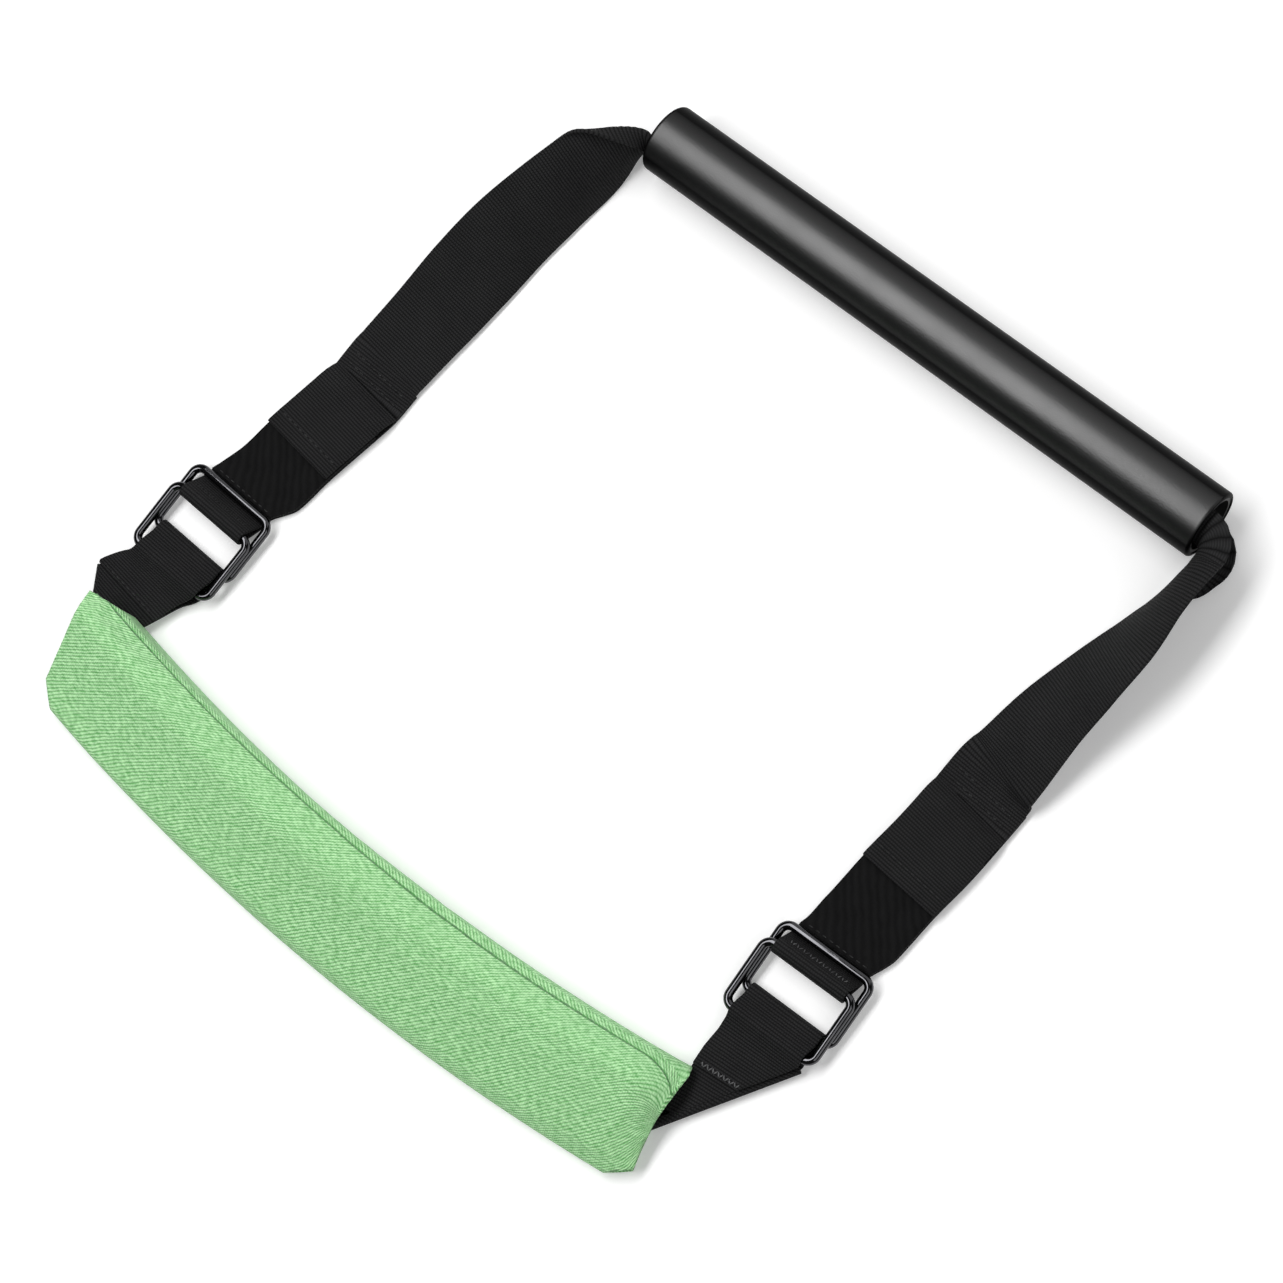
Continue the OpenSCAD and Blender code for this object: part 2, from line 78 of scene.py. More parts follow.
# %% [markdown]
# The camera looks down steeply from the loop's right side, with a long lens, and it is
# rolled so that the loop hangs across the frame on a diagonal.

# %% Camera
AZIMUTH, ELEVATION, ROLL = (math.radians(v) for v in (88.6, 71.35, -50.82))
CAMERA_DISTANCE = 1.5108
LENS, SENSOR = 103.69, 36.0
camera_target = place(23, 2.55, 0)
back = Vector((math.sin(AZIMUTH) * math.cos(ELEVATION), -math.cos(AZIMUTH) * math.cos(ELEVATION), math.sin(ELEVATION)))
level_right = Vector((math.cos(AZIMUTH), math.sin(AZIMUTH), 0))
level_up = back.cross(level_right)
right = math.cos(ROLL) * level_right + math.sin(ROLL) * level_up
up = -math.sin(ROLL) * level_right + math.cos(ROLL) * level_up
bpy.ops.object.camera_add()
camera = bpy.context.object
camera.name = "camera"
camera.data.lens = LENS
camera.data.sensor_width = SENSOR
camera.data.clip_end = 20
camera.matrix_world = Matrix.Translation(camera_target + back * CAMERA_DISTANCE) @ Matrix(
    [(right[i], up[i], back[i], 0) for i in range(3)] + [(0, 0, 0, 1)])
bpy.context.scene.camera = camera
bpy.context.scene.view_settings.view_transform = "Standard"
print("camera", [round(v, 3) for v in camera.matrix_world.translation])

# %% [markdown]
# Node trees are easier to read when a line of arithmetic is a line of code. The helper
# below adds a node, sets its values and links what feeds it, in one call.

# %% Node helpers
def add_node(tree, kind, inputs=(), **settings):
    """Adds a node, sets its properties, and feeds its inputs from sockets or values."""
    node = tree.nodes.new(kind)
    for key, value in settings.items():
        setattr(node, key, value)
    for key, value in dict(inputs).items():
        if isinstance(value, bpy.types.NodeSocket):
            tree.links.new(value, node.inputs[key])
        else:
            node.inputs[key].default_value = value
    return node


def calc(tree, operation, *values):
    """One Math node, and its result."""
    return add_node(tree, "ShaderNodeMath", dict(enumerate(values)), operation=operation).outputs[0]


def blend_colour(tree, factor, dark, light):
    """A colour between two, by a factor that changes over the surface."""
    node = add_node(tree, "ShaderNodeMix", data_type="RGBA")
    for socket, value in ((node.inputs[0], factor), (node.inputs[6], dark), (node.inputs[7], light)):
        if isinstance(value, bpy.types.NodeSocket):
            tree.links.new(value, socket)
        else:
            socket.default_value = value
    return node.outputs[2]


def new_group(name, inputs, outputs):
    """An empty shader group with float or vector sockets, and its two end nodes."""
    group = bpy.data.node_groups.new(name, "ShaderNodeTree")
    for socket, kind, value in inputs:
        made = group.interface.new_socket(name=socket, in_out="INPUT", socket_type=kind)
        if value is not None:
            made.default_value = value
    for socket in outputs:
        group.interface.new_socket(name=socket, in_out="OUTPUT", socket_type="NodeSocketFloat")
    return group, group.nodes.new("NodeGroupInput"), group.nodes.new("NodeGroupOutput")


def new_material(name):
    """A material with its Principled node, ready for a texture."""
    material = bpy.data.materials.new(name)
    material.use_nodes = True
    return material, material.node_tree, material.node_tree.nodes["Principled BSDF"]


def use_group(tree, group, vector, **values):
    """Places a group in a material, reading a coordinate."""
    node = add_node(tree, "ShaderNodeGroup", node_tree=group)
    tree.links.new(vector, node.inputs["Vector"])
    for key, value in values.items():
        node.inputs[key.replace("_", " ")].default_value = value
    return node.outputs


def bump(tree, shader, height, distance, strength=1.0):
    """Turns a height, 0 to 1, into relief of that many metres on a material."""
    node = add_node(tree, "ShaderNodeBump", {"Height": height, "Strength": strength, "Distance": distance})
    tree.links.new(node.outputs[0], shader.inputs["Normal"])


print("node helpers ready")

# %% [markdown]
# Webbing is woven with thick cross ribs, and each rib is made of small floats of yarn
# that shift by half a step from one rib to the next. The group reads a strap's own UV
# map, whose unit is a metre, so that the ribs follow every bend of the strap.

# %% Weave group
weave, weave_in, weave_out = new_group("webbing_weave", [
    ("Vector", "NodeSocketVector", None),
    ("Rib pitch", "NodeSocketFloat", 0.0013), ("Yarn pitch", "NodeSocketFloat", 0.0011)],
    ["Height", "Groove", "Cloud"])
parts = add_node(weave, "ShaderNodeSeparateXYZ", {0: weave_in.outputs["Vector"]})
wobble = add_node(weave, "ShaderNodeTexNoise", {"Vector": weave_in.outputs["Vector"], "Scale": 260.0, "Detail": 2.0})
along = calc(weave, "ADD", parts.outputs[1], calc(weave, "MULTIPLY", calc(weave, "SUBTRACT", wobble.outputs[0], 0.5), 0.00035))
rib_count = calc(weave, "DIVIDE", along, weave_in.outputs["Rib pitch"])
rib = calc(weave, "ABSOLUTE", calc(weave, "SINE", calc(weave, "MULTIPLY", rib_count, math.pi)))
half_step = calc(weave, "MULTIPLY", calc(weave, "MODULO", calc(weave, "FLOOR", rib_count), 2.0), 0.5)
yarn_count = calc(weave, "ADD", calc(weave, "DIVIDE", parts.outputs[0], weave_in.outputs["Yarn pitch"]), half_step)
yarn = calc(weave, "ABSOLUTE", calc(weave, "SINE", calc(weave, "MULTIPLY", yarn_count, math.pi)))
height = calc(weave, "MULTIPLY", calc(weave, "POWER", rib, 0.6), calc(weave, "MULTIPLY_ADD", yarn, 0.45, 0.55))
cloud = add_node(weave, "ShaderNodeTexNoise", {"Vector": weave_in.outputs["Vector"], "Scale": 45.0, "Detail": 5.0, "Roughness": 0.6})
weave.links.new(height, weave_out.inputs["Height"])
weave.links.new(calc(weave, "SUBTRACT", 1.0, height), weave_out.inputs["Groove"])
weave.links.new(cloud.outputs[0], weave_out.inputs["Cloud"])
print("weave group:", len(weave.nodes), "nodes")

# %% Webbing material
def strap_uv(tree):
    return add_node(tree, "ShaderNodeUVMap", uv_map="strap").outputs[0]


webbing, tree, shader = new_material("black_webbing")
cloth = use_group(tree, weave, strap_uv(tree), Rib_pitch=0.0013, Yarn_pitch=0.0011)
# Painted shade: the colour runs from dark grey on the rib tops to near black in the grooves between the ribs
ribs_with_painted_groove_shade = blend_colour(tree, cloth["Height"], (0.0006, 0.0006, 0.0007, 1), (0.026, 0.026, 0.0265, 1))
dusty = blend_colour(tree, cloth["Cloud"], (0.6, 0.6, 0.62, 1), (1.3, 1.3, 1.3, 1))
tint = add_node(tree, "ShaderNodeMix", data_type="RGBA", blend_type="MULTIPLY")
tint.inputs[0].default_value = 1
tree.links.new(ribs_with_painted_groove_shade, tint.inputs[6])
tree.links.new(dusty, tint.inputs[7])
tree.links.new(tint.outputs[2], shader.inputs["Base Color"])
shader.inputs["Roughness"].default_value = 0.75
shader.inputs["Specular IOR Level"].default_value = 0.1
bump(tree, shader, cloth["Height"], 0.0004)
print("webbing material ready")

# %% [markdown]
# Loop tape is a short velvety pile. It has no ribs: only a fine, uneven nap that drinks
# the light, so a noise at two scales is enough.

# %% Loop tape, hook tape and thread materials
velvet, tree, shader = new_material("loop_tape_velvet")
pile = add_node(tree, "ShaderNodeTexNoise", {"Vector": strap_uv(tree), "Scale": 1500.0, "Detail": 3.0})
nap = add_node(tree, "ShaderNodeTexNoise", {"Vector": strap_uv(tree), "Scale": 120.0, "Detail": 4.0})
rows = add_node(tree, "ShaderNodeTexWave", {"Vector": strap_uv(tree), "Scale": 130.0, "Distortion": 3.0, "Detail": 2.0},
                bands_direction="DIAGONAL")
fine = calc(tree, "MULTIPLY_ADD", rows.outputs[1], 0.25, calc(tree, "MULTIPLY", pile.outputs[0], 0.35))
mixed = calc(tree, "MULTIPLY_ADD", nap.outputs[0], 0.5, fine)
tree.links.new(blend_colour(tree, mixed, (0.001, 0.001, 0.0011, 1), (0.012, 0.012, 0.0123, 1)), shader.inputs["Base Color"])
shader.inputs["Roughness"].default_value = 0.9
shader.inputs["Specular IOR Level"].default_value = 0.08
bump(tree, shader, mixed, 0.0003)

hooks, tree, shader = new_material("hook_tape_nylon")
dots = add_node(tree, "ShaderNodeTexVoronoi", {"Vector": strap_uv(tree), "Scale": 900.0})
tree.links.new(blend_colour(tree, dots.outputs["Distance"], (0.03, 0.03, 0.032, 1), (0.006, 0.006, 0.006, 1)), shader.inputs["Base Color"])
shader.inputs["Roughness"].default_value = 0.4
bump(tree, shader, dots.outputs["Distance"], -0.0004)


def thread_material(name, dark, light):
    """Sewing thread: a fine twist along a smooth yarn."""
    material, tree, shader = new_material(name)
    twist = add_node(tree, "ShaderNodeTexWave", {
        "Vector": add_node(tree, "ShaderNodeTexCoord").outputs["Object"], "Scale": 900.0, "Distortion": 1.5},
        bands_direction="DIAGONAL")
    tree.links.new(blend_colour(tree, twist.outputs[1], dark, light), shader.inputs["Base Color"])
    shader.inputs["Roughness"].default_value = 0.5
    bump(tree, shader, twist.outputs[1], 0.0001)
    return material


dark_thread = thread_material("black_thread", (0.002, 0.002, 0.002, 1), (0.012, 0.012, 0.0125, 1))
grey_thread = thread_material("grey_thread", (0.05, 0.05, 0.052, 1), (0.16, 0.16, 0.165, 1))
green_thread = thread_material("green_thread", (0.08, 0.2, 0.08, 1), (0.25, 0.48, 0.24, 1))
print("tape and thread materials ready")

# %% [markdown]
# The rings are plated wire, dark and glossy, with faint rubbing marks. The grip is
# closed-cell foam with a satin skin: a fine grain, and roughness that varies a little.

# %% Metal, foam and plastic materials
def object_noise(tree, scale, detail=3.0, stretch=(1, 1, 1)):
    """Noise on the piece's own coordinates, stretched along an axis if asked."""
    mapping = add_node(tree, "ShaderNodeMapping", {
        "Vector": add_node(tree, "ShaderNodeTexCoord").outputs["Object"], "Scale": stretch})
    return add_node(tree, "ShaderNodeTexNoise", {"Vector": mapping.outputs[0], "Scale": scale, "Detail": detail}).outputs[0]


nickel, tree, shader = new_material("black_nickel")
rubbed = object_noise(tree, 90.0, 5.0)
scratches = object_noise(tree, 700.0, 2.0, (0.2, 1, 1))
tree.links.new(blend_colour(tree, rubbed, (0.04, 0.04, 0.043, 1), (0.09, 0.09, 0.095, 1)), shader.inputs["Base Color"])
tree.links.new(calc(tree, "MULTIPLY_ADD", rubbed, 0.06, 0.03), shader.inputs["Roughness"])
shader.inputs["Metallic"].default_value = 1
bump(tree, shader, scratches, 0.00002)

foam, tree, shader = new_material("grip_foam_skin")
grain = object_noise(tree, 1500.0, 3.0)
skin = object_noise(tree, 60.0, 5.0)
tree.links.new(blend_colour(tree, skin, (0.0012, 0.0012, 0.0013, 1), (0.003, 0.003, 0.0032, 1)), shader.inputs["Base Color"])
facing = add_node(tree, "ShaderNodeLayerWeight", {"Blend": 0.5}).outputs["Facing"]
tree.links.new(calc(tree, "MAXIMUM", calc(tree, "MULTIPLY_ADD", facing, -2.6, 1.05), 0.02), shader.inputs["Specular IOR Level"])
tree.links.new(calc(tree, "MULTIPLY_ADD", skin, 0.1, 0.33), shader.inputs["Roughness"])
bump(tree, shader, grain, 0.00006)

plastic, tree, shader = new_material("core_plastic")
drawn = object_noise(tree, 400.0, 3.0, (0.05, 1, 1))
tree.links.new(blend_colour(tree, drawn, (0.01, 0.01, 0.01, 1), (0.02, 0.02, 0.02, 1)), shader.inputs["Base Color"])
shader.inputs["Roughness"].default_value = 0.5
bump(tree, shader, drawn, 0.00005)

filling, tree, shader = new_material("sleeve_filling")
cells = object_noise(tree, 1200.0, 4.0)
tree.links.new(blend_colour(tree, cells, (0.5, 0.49, 0.45, 1), (0.8, 0.79, 0.74, 1)), shader.inputs["Base Color"])
shader.inputs["Roughness"].default_value = 0.95
bump(tree, shader, cells, 0.0004)


def dress(node, material):
    """Gives a frame node its finish, and keeps its mesh."""
    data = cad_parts[node].data
    data.materials.clear()
    data.materials.append(material)


for side in ("left", "right"):
    for ring in ("ring_a", "ring_b"):
        dress(f"{side}_{ring}", nickel)
dress("grip_foam", foam)
dress("grip_core", plastic)
dress("pad_foam", filling)
print("frame nodes dressed")

# %% [markdown]
# A strap is a flat strip of cloth laid along a route. Each station of the route has a
# centre, a crosswise direction, an upward direction and a curl. The strip starts as a
# grid, its rows are laid on the stations, and Solidify and Bevel give it its thickness
# and soft edges. The UV map measures the cloth in metres.

# %% Strap helpers
WEB_WIDTH, WEB_THICKNESS = 38.0, 1.4
TAPE_THICKNESS = 0.8


def only(obj):
    """Selects one object and makes it active."""
    bpy.ops.object.select_all(action="DESELECT")
    obj.select_set(True)
    bpy.context.view_layer.objects.active = obj


def finish_with(obj, kind, **settings):
    """Adds a modifier and applies it."""
    only(obj)
    modifier = obj.modifiers.new(kind.lower(), kind)
    for key, value in settings.items():
        setattr(modifier, key, value)
    bpy.ops.object.modifier_apply(modifier=modifier.name)


def mix(a, b, t):
    return a + (b - a) * t


PLEAT_SPAN = 3.4


def before_pleat(s, pleat):
    """How much of the pleat's turn still lies beyond the distance s, from 1 outside it to 0 inside."""
    t = min(max((s - pleat) / PLEAT_SPAN + 0.5, 0), 1)
    return 1 - t * t * (3 - 2 * t)


def curved_point(station, s, width):
    """A point across the strip, s mm from its centre line, on the station's curl, with its outer edge pleated over."""
    centre, cross, upward, curl = station[:4]
    pleat, fold = station[5] if len(station) > 5 else (-width, 0)
    steps = 24
    x = y = 0.0
    for k in range(steps):
        here = s * (k + 0.5) / steps
        bent = here if here > pleat else mix(here, 2 * pleat - here, fold / 180)
        angle = math.radians(curl * bent / width + fold * before_pleat(here, pleat))
        x += math.cos(angle) * s / steps
        y += math.sin(angle) * s / steps
    return centre + (cross * x - upward * y) * MM


def lay_strip(name, stations, material, thickness=WEB_THICKNESS, across=10, trim=0.0, start=0.0, flat=None):
    """Lays a strip of cloth on its stations, whose fifth item holds the two edges' distances from the centre.
    flat gives each station's two ends on the unfolded cloth, where the rows of the weave aren't the strip's own."""
    rows = len(stations) - 1
    bpy.ops.object.select_all(action="DESELECT")
    bpy.ops.mesh.primitive_grid_add(x_subdivisions=across, y_subdivisions=rows, size=1)
    strip = bpy.context.object
    strip.name = strip.data.name = name
    lengths = [start]
    for a, b in zip(stations, stations[1:]):
        lengths.append(lengths[-1] + (b[0] - a[0]).length)
    cloth = {}
    for vertex in strip.data.vertices:
        i, t = round((vertex.co.y + 0.5) * rows), vertex.co.x + 0.5
        station = stations[i]
        s = mix(station[4][0] + trim, station[4][1] - trim, t)
        vertex.co = curved_point(station, s, WEB_WIDTH)
        cloth[vertex.index] = (s * MM, lengths[i]) if flat is None else tuple(flat[i][0].lerp(flat[i][1], t))
    uv = strip.data.uv_layers[0]
    uv.name = "strap"
    for loop in strip.data.loops:
        uv.data[loop.index].uv = cloth[loop.vertex_index]
    finish_with(strip, "SOLIDIFY", thickness=thickness * MM, offset=0, use_even_offset=False)
    finish_with(strip, "BEVEL", width=0.25 * thickness * MM, segments=2, limit_method="ANGLE", angle_limit=math.radians(50))
    only(strip)
    bpy.ops.object.mode_set(mode="EDIT")
    bpy.ops.mesh.select_all(action="SELECT")
    bpy.ops.mesh.normals_make_consistent(inside=False)
    bpy.ops.object.mode_set(mode="OBJECT")
    bpy.ops.object.shade_smooth_by_angle(angle=math.radians(40))
    strip.data.materials.clear()
    strip.data.materials.append(material)
    print(name, "strip of", len(strip.data.polygons), "faces,", round((lengths[-1] - start) / MM), "mm long")
    return strip


def hermite(rows, t):
    """A smooth curve through rows of numbers whose first number is the distance along it."""
    rows = np.asarray(rows, float)
    i = int(np.clip(np.searchsorted(rows[:, 0], t, side="right") - 1, 0, len(rows) - 2))

    def slope(k):
        a, b = rows[max(k - 1, 0)], rows[min(k + 1, len(rows) - 1)]
        return (b - a) / (b[0] - a[0])
    d = rows[i + 1][0] - rows[i][0]
    s = (t - rows[i][0]) / d
    return (rows[i] * (2 * s**3 - 3 * s**2 + 1) + slope(i) * d * (s**3 - 2 * s**2 + s)
            + rows[i + 1] * (3 * s**2 - 2 * s**3) + slope(i + 1) * d * (s**3 - s**2))


print("strap helpers ready")

# %% [markdown]
# Each side of the loop has one route from the sleeve to the grip. A row holds the
# distance u from ring A's far bar, the place on the sheet, and the crosswise angle.

# %% Routes
WIRE_R = 1.9
GAP = 0.1
BAR_GAP = 0.2
HALF = WEB_THICKNESS / 2
RING_LENGTH = 30.5
A_NEAR_Z = WEB_THICKNESS + BAR_GAP + WIRE_R
A_FAR_Z = 2 * WEB_THICKNESS + TAPE_THICKNESS + 3 * GAP + WIRE_R
RING_LIFT = 3.1
RING_RUN = math.sqrt(RING_LENGTH**2 - (A_FAR_Z - A_NEAR_Z) ** 2)
RING_A = {"left": (-158.6, -53.8), "right": (166.4, -49.4)}
RING_B = {"left": (-159.7, -65.0), "right": (165.35, -59.0)}
RING_TURN = {"left": -2.2, "right": 2.1}


def bar_row(side, ring, behind, x):
    """The route's row where the strap crosses a ring's bar, so far behind the ring's far bar."""
    turn = math.radians(RING_TURN[side])
    square = Vector((-math.sin(turn), math.cos(turn)))
    bar = Vector(ring[side]) - square * behind
    return (bar - Vector(RING_A[side])).dot(square), x, bar.y + (x - bar.x) * math.tan(turn), RING_TURN[side]


ROUTES = {
    "left": [(-64, -172, -116, -8), (-50, -165.6, -103.4, -5), (-46, -162.6, -99.6, -2.4),
             bar_row("left", RING_B, RING_RUN, -160.8), bar_row("left", RING_A, RING_RUN, -159.9),
             bar_row("left", RING_B, 0, -159.5), (-5.6, -158.9, -59.4, -2.2),
             bar_row("left", RING_A, 0, -158.5), (2.6, -157.9, -51.3, -2.2),
             (7, -155.9, -47.5, -5.5), (16.2, -151.9, -39, -8), (33.4, -149.1, -22, -7),
             (66.1, -142.3, 10, -7), (72, -141.4, 16, -7), (92, -140.8, 36, -5)],
    "right": [(-64, 168.7, -113, 6), (-48, 167.6, -97.4, 3.6), (-44, 167.4, -93.4, 2.2),
              bar_row("right", RING_B, RING_RUN, 166.85), bar_row("right", RING_A, RING_RUN, 167.25),
              bar_row("right", RING_B, 0, 165.65), (-4.8, 165.85, -54.2, 2.1),
              bar_row("right", RING_A, 0, 166.1), (2.6, 166.6, -46.8, 2.1),
              (7, 168, -42.5, -0.5), (16.6, 169.6, -33, -4), (38.1, 171.2, -11.6, -4),
              (58.9, 173.7, 9, -6), (80.4, 175.1, 30.5, -7), (100, 176, 50, -5)],
}
FLAP_EDGE = {"left": 33.0, "right": 38.0}
HINGE = {"left": 72.0, "right": 80.4}
TAIL_END = {"left": 60.0, "right": 68.0}
A_NEAR = (-RING_RUN, A_NEAR_Z)
A_FAR = (0.0, A_FAR_Z)
B_FAR = {side: (bar_row(side, RING_B, 0, 0)[0], A_FAR_Z + RING_LIFT) for side in ROUTES}
B_NEAR = {side: (B_FAR[side][0] - RING_RUN, A_NEAR_Z + RING_LIFT) for side in ROUTES}
BEND = WIRE_R + BAR_GAP + HALF
UNDER = WIRE_R + 2 * GAP + TAPE_THICKNESS + HALF
LAP_Z = 1.5 * WEB_THICKNESS + GAP
TAIL_Z = LAP_Z
TAPE_Z = TAIL_Z + HALF + TAPE_THICKNESS / 2 + 0.02
HOOK_Z = TAPE_Z + TAPE_THICKNESS + 0.03
FLAP_Z = HOOK_Z + TAPE_THICKNESS / 2 + HALF + 0.02


def route_at(side, u):
    _, x, y, angle = hermite(ROUTES[side], u)
    return x, y, math.radians(angle)


def dense(points, step):
    """Points added on the straight runs of a [u, z] line, so that no run is longer than a step."""
    line = [points[0]]
    for a, b in zip(points, points[1:]):
        n = max(1, math.ceil(math.hypot(b[0] - a[0], b[1] - a[1]) / step))
        line += [(mix(a[0], b[0], k / n), mix(a[1], b[1], k / n)) for k in range(1, n + 1)]
    return line


def half_width(u):
    """Half the strap's width: the rings draw its edges in by a millimetre."""
    near = min(max((u + 58) / 8, 0), 1) * min(max((14 - u) / 8, 0), 1)
    return WEB_WIDTH / 2 - near


def follow(side, line, step=2.0):
    """Stations of a strip that follows the route through [u, z] points."""
    line = dense(line, step)
    places = [place(*route_at(side, u)[:2], z) for u, z in line]
    stations = []
    for i, (u, z) in enumerate(line):
        angle = route_at(side, u)[2]
        cross = Vector((math.cos(angle), math.sin(angle), 0))
        ahead = (places[min(i + 1, len(places) - 1)] - places[max(i - 1, 0)]).normalized()
        half = half_width(u)
        stations.append([places[i], cross, cross.cross(ahead).normalized(), 0, (-half, half)])
    return stations


def round_bar(bar, radius, first, last, steps=14):
    """[u, z] points round a bar, from one angle to another, in degrees."""
    return [(bar[0] + radius * math.cos(math.radians(mix(first, last, k / steps))),
             bar[1] + radius * math.sin(math.radians(mix(first, last, k / steps)))) for k in range(steps + 1)]


print("routes:", {side: len(rows) for side, rows in ROUTES.items()})

# %% [markdown]
# The long webbing comes out of the grip on both sides, standing on edge and curled to
# the bore, and it untwists along each leg until it lies flat at the flap's hinge line.
# The flap is its end, turned back on itself, so the flap is laid as a strip of its own that turns over at that line.

# %% Legs of the long webbing
BORE_RADIUS = (30.5 - 2 * 2 - 2 * 1.5) / 2
CURL_RADIUS = BORE_RADIUS - HALF - 0.5
BELLY_Y = 174.5 - CURL_RADIUS
GRIP_Z = 15.25
BORE_CURL = math.degrees(WEB_WIDTH / CURL_RADIUS)
HINGE_TURN = math.radians(-7)
PLEATED_CURL = 250
PLEATED_Y = 167
# Each row: x, y, z, roll that lifts the outer edge, curl, where the pleat lies, and how far it is folded over
LEFT_LEG = [
    (-141.4, 16, LAP_Z, 0, 0, -21, 0), (-141.2, 28, LAP_Z + 0.1, 0, 0, -21, 0), (-140.6, 34, 2.35, 0, 0, -21, 0),
    (-138, 56, 3.8, 5, 2, -21, 0), (-133.9, 80, 8.6, 20, 14, -21, 0), (-128.8, 103, 13.6, 35, 32, -21, 0),
    (-122.4, 124.5, 16.8, 45, 46, -21, 0), (-116.4, 144, 17.4, 52, 60, -18, 40), (-110.6, 158.5, 17.6, 62, 96, -12, 135),
    (-105.2, 167.3, 16.6, 76, 128, -8, 165), (-101.6, 168.4, 15.9, 85, 165, -6, 174),
    (-98, PLEATED_Y, GRIP_Z, 90, PLEATED_CURL, -5, 175), (-90, PLEATED_Y, GRIP_Z, 90, PLEATED_CURL, -5, 175)]
RIGHT_LEG = [
    (176, 165.2, GRIP_Z, 90, 218, -21, 0), (186, 165.2, GRIP_Z, 90, 218, -21, 0),
    (187.4, 158.5, 16, 84, 166, -21, 0), (187.2, 150.5, 18.2, 72, 106, -21, 0), (187, 138, 18.7, 60, 56, -21, 0),
    (187.1, 119, 16.5, 48, 22, -21, 0), (183.5, 98, 12.7, 37, 8, -21, 0), (179.5, 76, 9.4, 26, 2, -21, 0),
    (177.1, 54, 5.7, 14, 0, -21, 0), (175.9, 47, 3.3, 4, 0, -21, 0), (175.5, 42, LAP_Z + 0.2, 0, 0, -21, 0),
    (175.1, 30.5, LAP_Z, 0, 0, -21, 0)]


def catmull(rows, n):
    """Rows with n steps between each pair, on a Catmull-Rom curve."""
    rows = [np.array(r, float) for r in rows]
    out = []
    for i in range(len(rows) - 1):
        p = [rows[min(max(i + k, 0), len(rows) - 1)] for k in (-1, 0, 1, 2)]
        for k in range(n):
            t = k / n
            out.append(0.5 * (2 * p[1] + (p[2] - p[0]) * t + (2 * p[0] - 5 * p[1] + 4 * p[2] - p[3]) * t * t
                              + (3 * p[1] - p[0] - 3 * p[2] + p[3]) * t**3))
    return out + [rows[-1]]


leg_rows = catmull(LEFT_LEG, 9) + catmull(RIGHT_LEG, 9)
places = [place(*row[:3]) for row in leg_rows]
hinge_cross = Vector((math.cos(HINGE_TURN), math.sin(HINGE_TURN), 0))
leg_stations = []
for i, row in enumerate(leg_rows):
    ahead = (places[min(i + 1, len(places) - 1)] - places[max(i - 1, 0)]).normalized()
    cross = ahead.cross(Vector((0, 0, 1))).normalized()
    if i == 0:
        cross = hinge_cross
    elif i == len(leg_rows) - 1:
        cross = -hinge_cross
    upward = cross.cross(ahead).normalized()
    roll = math.radians(row[3])
    leg_stations.append([places[i], cross * math.cos(roll) - upward * math.sin(roll),
                         upward * math.cos(roll) + cross * math.sin(roll), max(row[4], 0), (-WEB_WIDTH / 2, WEB_WIDTH / 2),
                         (row[5], max(row[6], 0))])
long_webbing = lay_strip("long_webbing", leg_stations, webbing, across=40)
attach(long_webbing, "handle_frame")
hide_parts("main_webbing")

# %% Flaps and their hook tape
HEM = 9.0
FLAP_BEND = 3.0
for side in ("left", "right"):
    edge, hinge = FLAP_EDGE[side], HINGE[side]
    line = [(hinge - 0.4, LAP_Z), (hinge - 1.6, LAP_Z + 0.4), (hinge - 3.2, LAP_Z + 1.6),
            (hinge - 6, FLAP_Z - 0.3), (hinge - 9, FLAP_Z), (edge + HEM + 1, FLAP_Z), (edge + HEM - 0.5, FLAP_Z + 0.1),
            (edge + 1.2, FLAP_Z), (edge, FLAP_Z - 0.5)]
    flap = lay_strip(f"{side}_flap_cloth", follow(side, line), webbing, across=10)
    body = f"{side}_flap_body"
    place(*route_at(side, hinge)[:2], LAP_Z)
    place(*route_at(side, hinge - FLAP_BEND)[:2], LAP_Z)
    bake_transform(flap)
    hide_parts(f"{side}_flap")
    tape = lay_strip(f"{side}_hook_cloth", follow(side, [(hinge - 9, HOOK_Z), (edge + 1.5, HOOK_Z)]),
                     hooks, thickness=TAPE_THICKNESS, across=6, trim=1.0)
    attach(tape, body)
    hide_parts(f"{side}_hook_tape")

# %% [markdown]
# The adjusting strap is one webbing: it runs from the hinge line down under both rings,
# turns up round ring B's far bar, and dives back under ring A's far bar as the tail.
# When the loop is made longer, the tail feeds in and the standing part pays out. So it is made of two pieces that
# overlap for a long way: one moves with the handle, and the other runs round the rings into the tail.

# %% Adjusting straps, tails and loop tape
RISE_U = -2.2
SHOWN_OVERLAP = 34.0
INSET = 0.15


def tangent_angles(side):
    """Angles on ring B's far bar where the standing part arrives and where the tail leaves."""
    bar = B_FAR[side]
    d = (RISE_U - bar[0], HALF - bar[1])
    arrive = 360 + math.degrees(math.atan2(d[1], d[0])) - math.degrees(math.acos(BEND / math.hypot(*d)))
    d = (A_FAR[0] - bar[0], A_FAR[1] - bar[1])
    leave = math.degrees(math.atan2(d[1], d[0])) - math.degrees(math.asin((BEND + UNDER) / math.hypot(*d))) + 90
    return arrive, leave


